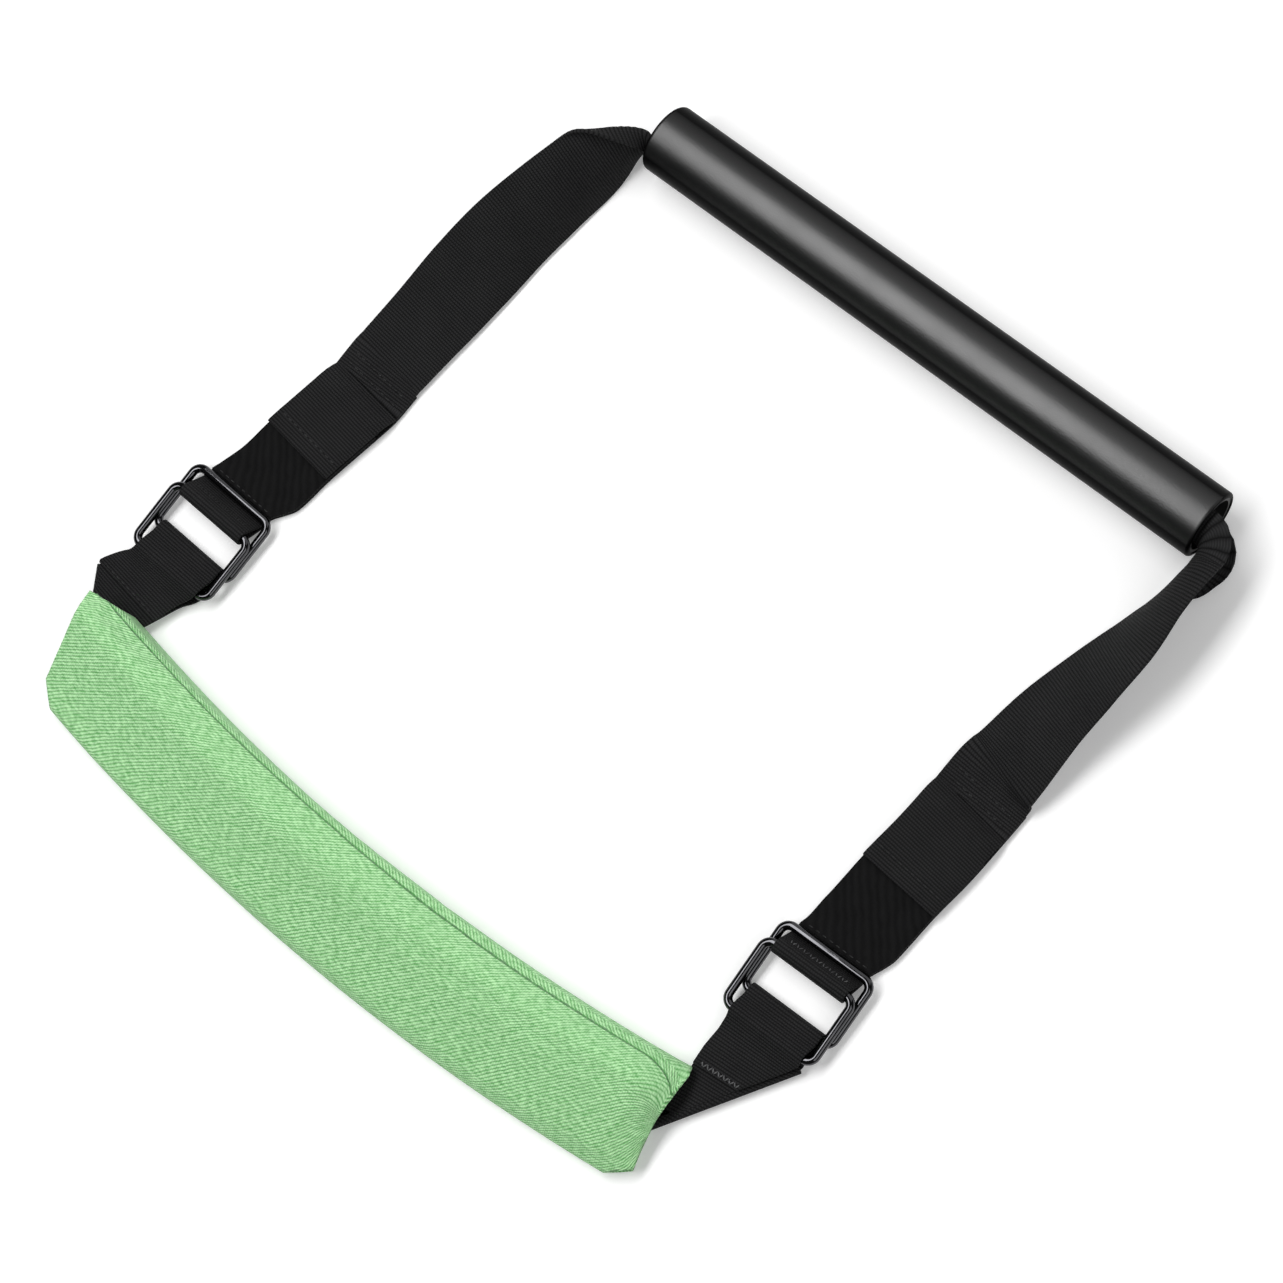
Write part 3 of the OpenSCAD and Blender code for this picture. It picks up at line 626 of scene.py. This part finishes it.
for side in ("left", "right"):
    arrive, leave = tangent_angles(side)
    hinge, end = HINGE[side], TAIL_END[side]
    standing = lay_strip(f"{side}_standing_strap", follow(side, [(hinge + 12, HALF), (hinge, HALF), (2, HALF)]), webbing)
    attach(standing, "handle_frame")
    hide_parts(f"{side}_adjuster")
    line = ([(SHOWN_OVERLAP, HALF), (0, HALF), (RISE_U, HALF + 0.15)]
            + round_bar(B_FAR[side], BEND, arrive, leave, 24)
            + round_bar(A_FAR, UNDER, leave + 180, 266, 14)
            + [(2.5, TAIL_Z), (end, TAIL_Z)])
    bight = lay_strip(f"{side}_bight_and_tail", follow(side, line, 1.6), webbing, trim=INSET)
    place(*route_at(side, 3)[:2], TAIL_Z)
    place(*route_at(side, end)[:2], TAIL_Z)
    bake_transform(bight)
    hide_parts(f"{side}_tail")
    tape = lay_strip(f"{side}_loop_pile", follow(side, [(2.4, TAPE_Z - 0.1), (4, TAPE_Z), (end - 1, TAPE_Z)], 1.6),
                     velvet, thickness=TAPE_THICKNESS, trim=INSET)
    place(*route_at(side, 3)[:2], TAIL_Z)
    place(*route_at(side, end)[:2], TAIL_Z)
    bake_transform(tape)
    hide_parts(f"{side}_loop_tape")

# %% [markdown]
# At each end of the sleeve the webbing is folded over on a diagonal, so that it turns
# from the sleeve's length toward the rings. It loops round the near bars of both rings
# and is folded back and sewn on itself.

# %% Tabs
FABRIC = 1.0
STRIP_Z = FABRIC + GAP + HALF
FOLD_R = WEB_THICKNESS + GAP / 2
TAB_LOW_Z = STRIP_Z + 2 * FOLD_R
TAB_HIGH_Z = TAB_LOW_Z + WEB_THICKNESS + GAP
FOLD_TOP = {"left": (-188.8, -112.8), "right": (182.2, -97.9)}
FOLD_LOW = {"left": (-161.6, -155.6), "right": (148.4, -151.6)}
TAB_END = {"left": -62.0, "right": -66.0}
TAB_LOW_END = {"left": -83.0, "right": -86.0}
FOLD_ROOM = 0.4


def to_fold(side, centre, cross):
    """Distances in mm along the crosswise direction: to the diagonal fold, and the room kept from it."""
    top, low = place(*FOLD_TOP[side], 0), place(*FOLD_LOW[side], 0)
    d, q = (low - top).normalized(), top - centre
    slanting = cross.x * d.y - cross.y * d.x
    return (q.x * d.y - q.y * d.x) / slanting / MM, FOLD_ROOM / abs(slanting)


def trimmed(side, stations):
    """Stations whose strip is cut along the fold line, on the side where it folds."""
    out = []
    for station in stations:
        s, room = to_fold(side, station[0], station[1])
        low, high = station[4]
        sides = (max(low, s + room), high) if side == "left" else (low, min(high, s - room))
        out.append(station[:4] + [sides])
    return out


for side in ("left", "right"):
    b, bz = B_NEAR[side]
    a, az = A_NEAR
    line = ([(TAB_LOW_END[side], TAB_LOW_Z), (-75, TAB_LOW_Z), (-58, TAB_LOW_Z), (-52, mix(TAB_LOW_Z, HALF, 0.4)),
             (b - 4, HALF + 0.15), (b, HALF), (-36, HALF)]
            + round_bar(A_NEAR, BEND, 270, 450, 20)
            + [(mix(a, b, 0.35), az + BEND + 0.6), (mix(a, b, 0.68), bz + BEND - 0.7)]
            + round_bar((b, bz), BEND, 80, 118, 8)
            + [(b - 4, bz + 1), (b - 8, mix(bz, TAB_HIGH_Z, 0.6)), (-54, TAB_HIGH_Z + 0.3),
               (-58, TAB_HIGH_Z), (TAB_END[side], TAB_HIGH_Z)])
    tab = lay_strip(f"{side}_tab_cloth", trimmed(side, follow(side, line, 1.6)), webbing)
    place(*route_at(side, -54)[:2], bz)
    place(*route_at(side, -42)[:2], bz)
    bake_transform(tab)
    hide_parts(f"{side}_tab")

# %% [markdown]
# The same webbing runs through the whole sleeve. It is made in two halves that meet in
# the middle. Each follows the arc, reaches the diagonal, and rolls over into the tab. Its
# weave is measured on the unfolded cloth, so the ribs cross the fold at a slant.

# %% Webbing inside the sleeve
ARC_CENTRE = place(-6, -131.2 + 950, 0)
ARC_RADIUS = 950.0
STRIP_OUT = (6.0, 44.0)
STRIP_END = {"left": 262.2, "right": 277.6}
STRIP_MIDDLE = 269.9
MOUTH_TURN = {"left": (-180.8, -119.6), "right": (148.5, -122.5)}
ROLL_REACH = {"left": 0.5, "right": 6.0}
ROLL_TIP_R = 0.9


def on_arc(angle, out, z):
    """A point at an angle of the arc, so far out from the sleeve's inner edge."""
    a = math.radians(angle)
    return ARC_CENTRE + Vector((math.cos(a), math.sin(a), 0)) * ((ARC_RADIUS + out) * MM) + Vector((0, 0, z * MM))


def unfolded(point):
    """Cloth position of a flat point: its distance out, and its distance along the arc."""
    d = point - ARC_CENTRE
    return Vector((math.hypot(d.x, d.y) - ARC_RADIUS * MM, math.atan2(d.y, d.x) * ARC_RADIUS * MM))


def ruled(a, b):
    """A station whose two ends are known."""
    cross = (b - a).normalized()
    half = (b - a).length / 2 / MM
    return [(a + b) / 2, cross, Vector((0, 0, 1)), 0, (-half, half)]


for side in ("left", "right"):
    inner, outer = (on_arc(STRIP_END[side], out, STRIP_Z) for out in STRIP_OUT)
    turn, top, low = (place(*p[side], STRIP_Z) for p in (MOUTH_TURN, FOLD_TOP, FOLD_LOW))
    along = (top - low).normalized()
    top = top + along * ROLL_REACH[side] * MM
    beyond = Vector((-along.y, along.x, 0)) * (1 if side == "left" else -1)
    ends = [[on_arc(mix(STRIP_MIDDLE, STRIP_END[side], k / 24), out, STRIP_Z) for out in STRIP_OUT] for k in range(24)]
    ends += [[inner.lerp(turn, k / 4), outer.lerp(low, k / 8)] for k in range(4)]
    ends += [[turn.lerp(top, k / 4), outer.lerp(low, 0.5 + k / 8)] for k in range(5)]
    flat = [[unfolded(p) for p in pair] for pair in ends]
    for k in range(1, 13):
        angle = math.pi * k / 12
        pair = [end + (beyond * math.sin(angle) * r + Vector((0, 0, FOLD_R - r * math.cos(angle)))) * MM
                for end, r in ((top, ROLL_TIP_R), (low, FOLD_R))]
        ends.append(pair)
        flat.append([unfolded(end + beyond * FOLD_R * angle * MM) for end in (top, low)])
    last = ends[-1]
    ends.append([p - (beyond * 1.6 + Vector((0, 0, 0.05))) * MM for p in last])
    flat.append([unfolded(end + beyond * (FOLD_R * math.pi + 1.6) * MM) for end in (top, low)])
    fold = lay_strip(f"{side}_fold_cloth", [ruled(*pair) for pair in ends], webbing, flat=flat)
    place(*route_at(side, -54)[:2], 0)
    place(*route_at(side, -42)[:2], 0)
    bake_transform(fold)
    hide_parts("pad_webbing")

# %% [markdown]
# Every seam is a row of separate stitches. One stitch is modelled, and each row is made
# of its copies. The cut end of the right tab and the strap between the rings are sewn
# with a zigzag in a greyer thread.

# %% Stitching
def stitched(name, spots, material, size=(2.2, 0.6, 0.5)):
    """A row of stitches: each spot has a centre, the stitch's direction and the cloth's upward direction."""
    bpy.ops.object.select_all(action="DESELECT")
    bpy.ops.mesh.primitive_uv_sphere_add(segments=8, ring_count=6, radius=0.5)
    first = bpy.context.object
    first.data.transform(Matrix.Diagonal((size[0] * MM, size[1] * MM, size[2] * MM, 1)))
    bpy.ops.object.shade_smooth()
    first.data.materials.append(material)
    row = []
    for centre, way, upward in spots:
        stitch = first.copy()
        stitch.data = first.data.copy()
        side_way = upward.cross(way).normalized()
        stitch.data.transform(Matrix.Translation(centre) @ Matrix(
            [(way[i], side_way[i], upward[i], 0) for i in range(3)] + [(0, 0, 0, 1)]))
        bpy.context.collection.objects.link(stitch)
        row.append(stitch)
    bpy.data.objects.remove(first)
    for stitch in row:
        stitch.select_set(True)
    bpy.context.view_layer.objects.active = row[0]
    bpy.ops.object.join()
    row[0].name = row[0].data.name = name
    print(name, len(row), "stitches")
    return row[0]


def row_across(side, u, z, low, high, zigzag=0.0, pitch=3.4, way_up=None):
    """Spots of a row across the strap. A zigzag turns every stitch from the row's direction, one way then the other."""
    x, y, angle = route_at(side, u)
    cross = Vector((math.cos(angle), math.sin(angle), 0))
    ahead = Vector((-math.sin(angle), math.cos(angle), 0)) if way_up is None else way_up
    upward = cross.cross(ahead).normalized()
    count = int((high - low) // pitch)
    spots = []
    for k in range(count):
        s = (low + high) / 2 + (k - (count - 1) / 2) * pitch
        turn = math.radians(zigzag) * (1 if k % 2 else -1)
        spots.append((place(x, y, z) + cross * (s * MM), cross * math.cos(turn) + ahead * math.sin(turn), upward))
    return spots


for side in ("left", "right"):
    hinge, edge, half = HINGE[side], FLAP_EDGE[side], WEB_WIDTH / 2
    lap = stitched(f"{side}_lap_seam", sum((row_across(side, hinge + u, LAP_Z + HALF + 0.15, 3 - half, half - 3)
                                            for u in (3, 8)), []), dark_thread)
    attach(lap, "handle_frame")
    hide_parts(f"{side}_lap_stitching")
    hem = stitched(f"{side}_hem_seam", row_across(side, edge + HEM - 2, FLAP_Z + HALF + 0.05, 2 - half, half - 2), dark_thread)
    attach(hem, f"{side}_flap_body")
    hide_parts(f"{side}_hem_stitching")
    tail = stitched(f"{side}_tail_seam", row_across(side, 4, TAPE_Z + TAPE_THICKNESS / 2 + 0.02, 3 - half, half - 3), dark_thread)
    place(*route_at(side, 3)[:2], TAIL_Z)
    place(*route_at(side, TAIL_END[side])[:2], TAIL_Z)
    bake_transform(tail)
    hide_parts(f"{side}_tail_stitching")
    u = TAB_END[side] + 1.6
    x, y, angle = route_at(side, u)
    fold_at, room = to_fold(side, place(x, y, 0), Vector((math.cos(angle), math.sin(angle), 0)))
    low, high = (max(3 - half, fold_at + room + 1), half - 3) if side == "left" else (3 - half, min(half - 3, fold_at - room - 1))
    spots = (row_across(side, u, TAB_HIGH_Z + HALF, low, high) if side == "left"
             else row_across(side, u, TAB_HIGH_Z + HALF, low, high, zigzag=62, pitch=1.3))
    tab_end = stitched(f"{side}_tab_seam", spots, grey_thread if side == "right" else dark_thread)
    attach(tab_end, "pad")
    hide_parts(f"{side}_tab_stitching")
    leave = math.radians(tangent_angles(side)[1])
    normal = (math.cos(leave), math.sin(leave))
    first, last = ([bar[k] + r * normal[k] for k in (0, 1)] for bar, r in ((B_FAR[side], BEND), (A_FAR, -UNDER)))
    u, z = mix(first[0], last[0], 0.35) + HALF * normal[0], mix(first[1], last[1], 0.35) + HALF * normal[1]
    angle = route_at(side, u)[2]
    ahead = Vector((-math.sin(angle) * normal[1], math.cos(angle) * normal[1], -normal[0]))
    zigzag = stitched(f"{side}_strap_zigzag", row_across(side, u, z, 4 - half, half - 4, zigzag=70, pitch=1.6, way_up=ahead),
                      grey_thread if side == "right" else dark_thread, (2.6, 0.45, 0.4))
    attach(zigzag, f"{side}_buckle")

# %% [markdown]
# The sleeve is one piece of light twill, folded round a foam filling and sewn along its
# inner edge. Its section is drawn as a closed outline and spun about the arc's centre.
# A pressure simulation then swells it a little, so that the cloth looks stuffed.

# %% Sleeve section and arc
PAD_WIDTH, PAD_HEIGHT = 55.0, 26.0
SLEEVE_FIRST, SLEEVE_LAST = 257.6, 280.2
# Corners of the section: distance out from the inner edge, height, corner radius
SECTION = [(1.2, 15.5, 0), (1.2, 17.5, 1.5), (14, PAD_HEIGHT, 7), (PAD_WIDTH, 5, 3), (PAD_WIDTH - 2, 0, 2.5), (1.2, 0, 2.5)]


def rounded_outline(corners, steps):
    """A closed outline whose corners are arcs."""
    out = []
    for i, (x, y, r) in enumerate(corners):
        b = Vector((x, y))
        if r == 0:
            out.append(b)
            continue
        u = (Vector(corners[i - 1][:2]) - b).normalized()
        v = (Vector(corners[(i + 1) % len(corners)][:2]) - b).normalized()
        half = u.angle(v) / 2
        centre = b + (u + v).normalized() * (r / math.sin(half))
        p, q = b + u * (r / math.tan(half)) - centre, b + v * (r / math.tan(half)) - centre
        a0, a1 = math.atan2(p.y, p.x), math.atan2(q.y, q.x)
        sweep = (a1 - a0 + 3 * math.pi) % (2 * math.pi) - math.pi
        out += [centre + Vector((math.cos(a0 + sweep * k / steps), math.sin(a0 + sweep * k / steps))) * r for k in range(steps + 1)]
    return out


def even_outline(points, count):
    """The same closed outline with evenly spaced points."""
    closed = points + points[:1]
    run = np.cumsum([0.0] + [(b - a).length for a, b in zip(closed, closed[1:])])
    steps = np.linspace(0, run[-1], count, endpoint=False)
    return [Vector((np.interp(v, run, [p.x for p in closed]), np.interp(v, run, [p.y for p in closed]))) for v in steps]


ROUND_COUNT, LONG_COUNT = 48, 116
outline = even_outline(rounded_outline(SECTION, 6), ROUND_COUNT)
print("section outline of", len(outline), "points")

# %% Spin the section into a closed form
SHRINK = 0.5
# The low outer corner is kept full, so that the foam stays inside it
FULLNESS = 1.5
bpy.ops.object.select_all(action="DESELECT")
bpy.ops.mesh.primitive_circle_add(vertices=len(outline), radius=0.03, fill_type="NGON")
sleeve = bpy.context.object
sleeve.name = sleeve.data.name = "sleeve"
middle = sum(outline, Vector((0, 0))) / len(outline)
for vertex, point in zip(sleeve.data.vertices, outline):
    corner = float(np.clip((point.x - 46) / 6, 0, 1) * np.clip((13 - point.y) / 4, 0, 1))
    point = point + (middle - point).normalized() * (SHRINK - FULLNESS * corner)
    vertex.co = on_arc(SLEEVE_FIRST, point.x, max(point.y, 0.2))
only(sleeve)
bpy.ops.object.mode_set(mode="EDIT")
bpy.ops.mesh.select_all(action="SELECT")
bpy.ops.mesh.spin(steps=LONG_COUNT, angle=-math.radians(SLEEVE_LAST - SLEEVE_FIRST), center=ARC_CENTRE, axis=(0, 0, 1))
bpy.ops.mesh.select_all(action="SELECT")
bpy.ops.mesh.normals_make_consistent(inside=False)
bpy.ops.object.mode_set(mode="OBJECT")
print("spun sleeve:", len(sleeve.data.polygons), "faces", [round(v, 4) for v in sleeve.dimensions])

# %% [markdown]
# The closed form is inflated with the Cloth modifier, which wrinkles and rounds it. The
# filling holds the cloth out, so no point may sink, and each may only swell a little.

# %% Stuff the sleeve
PUFF_CAP, SINK_CAP = 0.0016, 0.0002


def points_of(obj):
    co = np.zeros(len(obj.data.vertices) * 3)
    obj.data.vertices.foreach_get("co", co)
    return co.reshape(-1, 3)


def put_points(obj, co):
    obj.data.vertices.foreach_set("co", np.asarray(co).ravel())
    obj.data.update()


before = points_of(sleeve)
outward = np.array([v.normal for v in sleeve.data.vertices])
scene = bpy.context.scene
swell = sleeve.modifiers.new("swell", "CLOTH")
swell.settings.quality = 6
swell.settings.use_pressure = True
swell.settings.uniform_pressure_force = 4
swell.settings.tension_stiffness = swell.settings.compression_stiffness = 25
swell.settings.bending_stiffness = 2
swell.settings.effector_weights.gravity = 0
for number in range(1, 19):
    scene.frame_set(number)
only(sleeve)
bpy.ops.object.modifier_apply(modifier="swell")
move = points_of(sleeve) - before
push = np.clip((move * outward).sum(1), -SINK_CAP, PUFF_CAP)
along = move - outward * (move * outward).sum(1)[:, None]
far = np.linalg.norm(along, axis=1, keepdims=True)
along *= np.minimum(1, PUFF_CAP / np.maximum(far, 1e-9))
after = before + outward * push[:, None] + along
after[:, 2] = np.maximum(after[:, 2], 0.0003)
put_points(sleeve, after)
scene.frame_set(1)
print("stuffed: mean push", round(float(push.mean()) / MM, 2), "mm")

finish_with(sleeve, "SUBSURF", levels=1, render_levels=1)
print("sleeve:", len(sleeve.data.polygons), "faces", [round(v, 4) for v in sleeve.dimensions])

# %% [markdown]
# The stuffed form is cut open at both ends, and what is left is a tube of cloth. The
# cuts are the ones the real sleeve shows: a slanting mouth on the left, and a straight
# one on the right whose lip is drawn in at its middle.

# %% Cut the mouths
LEFT_CUTS = [((-183.3, -123.5), (16, 10)), ((-176, -163.2), (8, 45)), ((-176, -122.3), (0, -83.3))]
RIGHT_MOUTH = 279.6
# The lower layer of the right mouth lies a little inside the upper lip
MOUTH_TOP = 17
MOUTH_SLANT = 0.2
RIGHT_CORNER = ((153.1, -169.1), -50)


def cut_away(obj, point, normal):
    """Removes what lies on the side that the normal points to, and leaves the cut open."""
    only(obj)
    bpy.ops.object.mode_set(mode="EDIT")
    bpy.ops.mesh.select_all(action="SELECT")
    bpy.ops.mesh.bisect(plane_co=point, plane_no=normal, use_fill=False, clear_outer=True)
    bpy.ops.object.mode_set(mode="OBJECT")


for (x, y), (tilt, slant) in LEFT_CUTS:
    tilt, slant = math.radians(tilt), math.radians(slant)
    keep = Vector((math.cos(tilt) * math.cos(slant), math.cos(tilt) * math.sin(slant), -math.sin(tilt)))
    cut_away(sleeve, place(x, y, 0), -keep)
a = math.radians(RIGHT_MOUTH)
cut_away(sleeve, on_arc(RIGHT_MOUTH, 0, MOUTH_TOP), Vector((-math.sin(a), math.cos(a), -MOUTH_SLANT)))
(x, y), slant = RIGHT_CORNER
cut_away(sleeve, place(x, y, 0), Vector((math.cos(math.radians(slant)), math.sin(math.radians(slant)), 0)))


def arc_place(co):
    """Angle in degrees, distance out in mm and height in mm of points on the sleeve."""
    d = co - np.array(ARC_CENTRE)
    return (np.degrees(np.arctan2(d[:, 1], d[:, 0])) % 360, np.hypot(d[:, 0], d[:, 1]) / MM - ARC_RADIUS, co[:, 2] / MM)


# The right lip is drawn in and pressed down a little toward the strap
co = points_of(sleeve)
angle, out, z = arc_place(co)
run = (RIGHT_MOUTH - angle) * math.radians(ARC_RADIUS + 30)
near = np.clip(1 - run / 20, 0, 1) ** 2
drawn_in = 3.0 * np.clip(1 - ((out - 28) / 24) ** 2, 0, 1) * near
tangent = np.stack([-np.sin(np.radians(angle)), np.cos(np.radians(angle)), np.zeros(len(co))], 1)
co[:, 2] *= 1 - 0.38 * near * np.clip(z / 12, 0, 1)
put_points(sleeve, co - tangent * drawn_in[:, None] * MM)
print("mouths cut:", len(sleeve.data.polygons), "faces left")

# %% [markdown]
# The sleeve's UV map measures the cloth in metres along the arc and round the section,
# so that the twill keeps its scale and runs on a slant to the sleeve's length.

# %% Sleeve UV, wall and seam
corner_run = [0.0]
for p, q in zip(outline, outline[1:] + outline[:1]):
    corner_run.append(corner_run[-1] + (q - p).length)
HUB = Vector((26, 9))


def girth(out, z):
    """Distance round the section, in mm from the seam, of the outline's nearest direction."""
    angles = np.array([math.atan2(p.y - HUB.y, p.x - HUB.x) for p in outline])
    turned = (angles[0] - angles) % (2 * math.pi)
    here = (angles[0] - np.arctan2(z - HUB.y, out - HUB.x)) % (2 * math.pi)
    return np.interp(here, np.append(turned, 2 * math.pi), corner_run)


def cloth_map(obj, name="cloth"):
    """Gives a piece on the sleeve the sleeve's cloth map."""
    co = points_of(obj)
    angle, out, z = arc_place(co)
    run, round_it = np.radians(angle - 260) * ARC_RADIUS * MM, girth(out, z) * MM
    for layer in list(obj.data.uv_layers):
        obj.data.uv_layers.remove(layer)
    uv = obj.data.uv_layers.new(name=name)
    total = corner_run[-1] * MM
    for polygon in obj.data.polygons:
        first = round_it[obj.data.loops[polygon.loop_start].vertex_index]
        for k in polygon.loop_indices:
            v = obj.data.loops[k].vertex_index
            g = round_it[v]
            g -= total * round((g - first) / total)
            uv.data[k].uv = (run[v], g)


cloth_map(sleeve)
finish_with(sleeve, "SOLIDIFY", thickness=FABRIC * MM, offset=-1, use_even_offset=False)
bpy.ops.object.shade_smooth()
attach(sleeve, "pad")
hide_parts("pad_cover")
print("sleeve girth", round(corner_run[-1]), "mm")

# %% Seam thread
SEAM_FIRST, SEAM_STEP, SEAM_STITCHES = 259.9, 0.38, 47
spots = []
for k in range(SEAM_STITCHES):
    angle = SEAM_FIRST + k * SEAM_STEP
    _, at, normal, _ = sleeve.closest_point_on_mesh(on_arc(angle, 3.6, 19.7))
    a = math.radians(angle)
    way = Vector((-math.sin(a), math.cos(a), 0))
    way = (way - normal * way.dot(normal)).normalized()
    spots.append((at, way, normal))
seam = stitched("seam_thread", spots, green_thread, (3.4, 0.5, 0.4))
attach(seam, "pad")
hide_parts("pad_seam_thread")

# %% [markdown]
# Twill shows fine slanting lines, and its yarns are mixed light and dark, which gives a
# heathered look. The group puts out the relief, the slanting line and the mixture.

# %% Twill group and material
twill, twill_in, twill_out = new_group("heather_twill", [
    ("Vector", "NodeSocketVector", None), ("Line pitch", "NodeSocketFloat", 0.00125), ("Seam", "NodeSocketFloat", 0.0048)],
    ["Height", "Line", "Heather", "Cloud", "Crease"])
parts = add_node(twill, "ShaderNodeSeparateXYZ", {0: twill_in.outputs["Vector"]})
past_seam = calc(twill, "GREATER_THAN", parts.outputs[1], twill_in.outputs["Seam"])
turn = calc(twill, "MULTIPLY_ADD", past_seam, 1.5, -0.75)
slant = calc(twill, "ADD", calc(twill, "MULTIPLY", parts.outputs[0], 0.66), calc(twill, "MULTIPLY", parts.outputs[1], turn))
slub = add_node(twill, "ShaderNodeTexNoise", {"Vector": twill_in.outputs["Vector"], "Scale": 300.0, "Detail": 2.0})
slant = calc(twill, "ADD", slant, calc(twill, "MULTIPLY", calc(twill, "SUBTRACT", slub.outputs[0], 0.5), 0.0007))
line = calc(twill, "ABSOLUTE", calc(twill, "SINE", calc(twill, "MULTIPLY", calc(twill, "DIVIDE", slant, twill_in.outputs["Line pitch"]), math.pi)))
weft = calc(twill, "ABSOLUTE", calc(twill, "SINE", calc(twill, "MULTIPLY", parts.outputs[0], math.pi / 0.0009)))
stretched = add_node(twill, "ShaderNodeMapping", {"Vector": twill_in.outputs["Vector"], "Rotation": (0, 0, math.radians(-40)), "Scale": (0.35, 1, 1)})
fleck = add_node(twill, "ShaderNodeTexNoise", {"Vector": stretched.outputs[0], "Scale": 900.0, "Detail": 2.0})
cloud = add_node(twill, "ShaderNodeTexNoise", {"Vector": twill_in.outputs["Vector"], "Scale": 60.0, "Detail": 4.0})
twill.links.new(calc(twill, "MULTIPLY", line, calc(twill, "MULTIPLY_ADD", weft, 0.4, 0.6)), twill_out.inputs["Height"])
# Crease: a narrow band along the seam's fold. It grooves the relief, and the material darkens the colour there as
# painted shade
off_seam = calc(twill, "ABSOLUTE", calc(twill, "SUBTRACT", parts.outputs[1], twill_in.outputs["Seam"]))
crease = calc(twill, "SUBTRACT", 1.0, calc(twill, "MINIMUM", calc(twill, "DIVIDE", off_seam, 0.0006), 1.0))
twill.links.new(crease, twill_out.inputs["Crease"])
twill.links.new(line, twill_out.inputs["Line"])
twill.links.new(fleck.outputs[0], twill_out.inputs["Heather"])
twill.links.new(cloud.outputs[0], twill_out.inputs["Cloud"])

sleeve_cloth, tree, shader = new_material("green_twill")
cloth = use_group(tree, twill, add_node(tree, "ShaderNodeUVMap", uv_map="cloth").outputs[0], Line_pitch=0.00125)
plain = calc(tree, "MULTIPLY", calc(tree, "SUBTRACT", cloth["Cloud"], 0.35), 1.6)
lines = calc(tree, "MULTIPLY_ADD", calc(tree, "SUBTRACT", cloth["Height"], 0.45), calc(tree, "SUBTRACT", 1.1, plain), 0.45)
fleck = calc(tree, "MULTIPLY_ADD", calc(tree, "SUBTRACT", cloth["Heather"], 0.5), 1.8, lines)
# Painted shade: the colour is darkened along the seam's crease
fleck = calc(tree, "SUBTRACT", fleck, calc(tree, "MULTIPLY", cloth["Crease"], 0.9))
tree.links.new(blend_colour(tree, fleck, (0.13, 0.45, 0.12, 1), (0.58, 0.96, 0.52, 1)), shader.inputs["Base Color"])
shader.inputs["Roughness"].default_value = 0.85
shader.inputs["Sheen Weight"].default_value = 0.15
relief = calc(tree, "SUBTRACT", cloth["Height"], calc(tree, "MULTIPLY", cloth["Crease"], 2.5))
bump(tree, shader, relief, 0.0003)
sleeve.data.materials.clear()
sleeve.data.materials.append(sleeve_cloth)
print("twill ready")

# %% [markdown]
# The object lies on a plain pale floor under soft lamps. The floor is a little brighter
# to the camera than to the object, so the ground reads white and the shadows stay.

# %% Floor and lamps
bpy.ops.object.select_all(action="DESELECT")
bpy.ops.mesh.primitive_plane_add(size=12, location=(0, 0, -0.0004))
floor = bpy.context.object
floor.name = "floor"
pale, tree, shader = new_material("pale_floor")
shader.inputs["Base Color"].default_value = (0.92, 0.92, 0.92, 1)
shader.inputs["Roughness"].default_value = 0.9
path = add_node(tree, "ShaderNodeLightPath")
seen = calc(tree, "MAXIMUM", path.outputs["Is Camera Ray"], path.outputs["Is Glossy Ray"])
shader.inputs["Emission Color"].default_value = (1, 1, 1, 1)
tree.links.new(calc(tree, "MULTIPLY", seen, 0.2), shader.inputs["Emission Strength"])
floor.data.materials.append(pale)


def area_lamp(name, spot, aim, size, power):
    """A soft rectangular lamp that points at a spot."""
    bpy.ops.object.light_add(type="AREA", location=spot)
    lamp = bpy.context.object
    lamp.name = name
    lamp.data.shape = "RECTANGLE"
    lamp.data.size, lamp.data.size_y = size
    lamp.data.energy = power
    lamp.rotation_euler = (Vector(aim) - Vector(spot)).to_track_quat("-Z", "Y").to_euler()
    return lamp


def facing(tilt_x, tilt_y, distance):
    """A point so many degrees from the vertical toward +X and toward +Y, at a distance."""
    way = Vector((math.tan(math.radians(tilt_x)), math.tan(math.radians(tilt_y)), 1)).normalized()
    return way * distance


def soft_box(name, tilt_x, tilt_y, distance, size, radiance):
    """A lamp whose face has a given brightness."""
    return area_lamp(name, facing(tilt_x, tilt_y, distance), (0, 0, 0), size, radiance * math.pi * size[0] * size[1])


soft_box("key_box", -18.6, -2, 2.0, (2.2, 0.7), 7.2)
soft_box("grip_side_box", 0, 58, 2.0, (2.4, 2.4), 0.8)
soft_box("right_fill_box", 45, -10, 2.0, (1.4, 1.2), 1.7)
world = bpy.data.worlds.new("soft_room")
bpy.context.scene.world = world
world.use_nodes = True
tree = world.node_tree
seen = add_node(tree, "ShaderNodeLightPath").outputs["Is Camera Ray"]
room = blend_colour(tree, seen, (0.06, 0.06, 0.06, 1), (1, 1, 1, 1))
tree.links.new(room, tree.nodes["Background"].inputs["Color"])
print("lights ready")
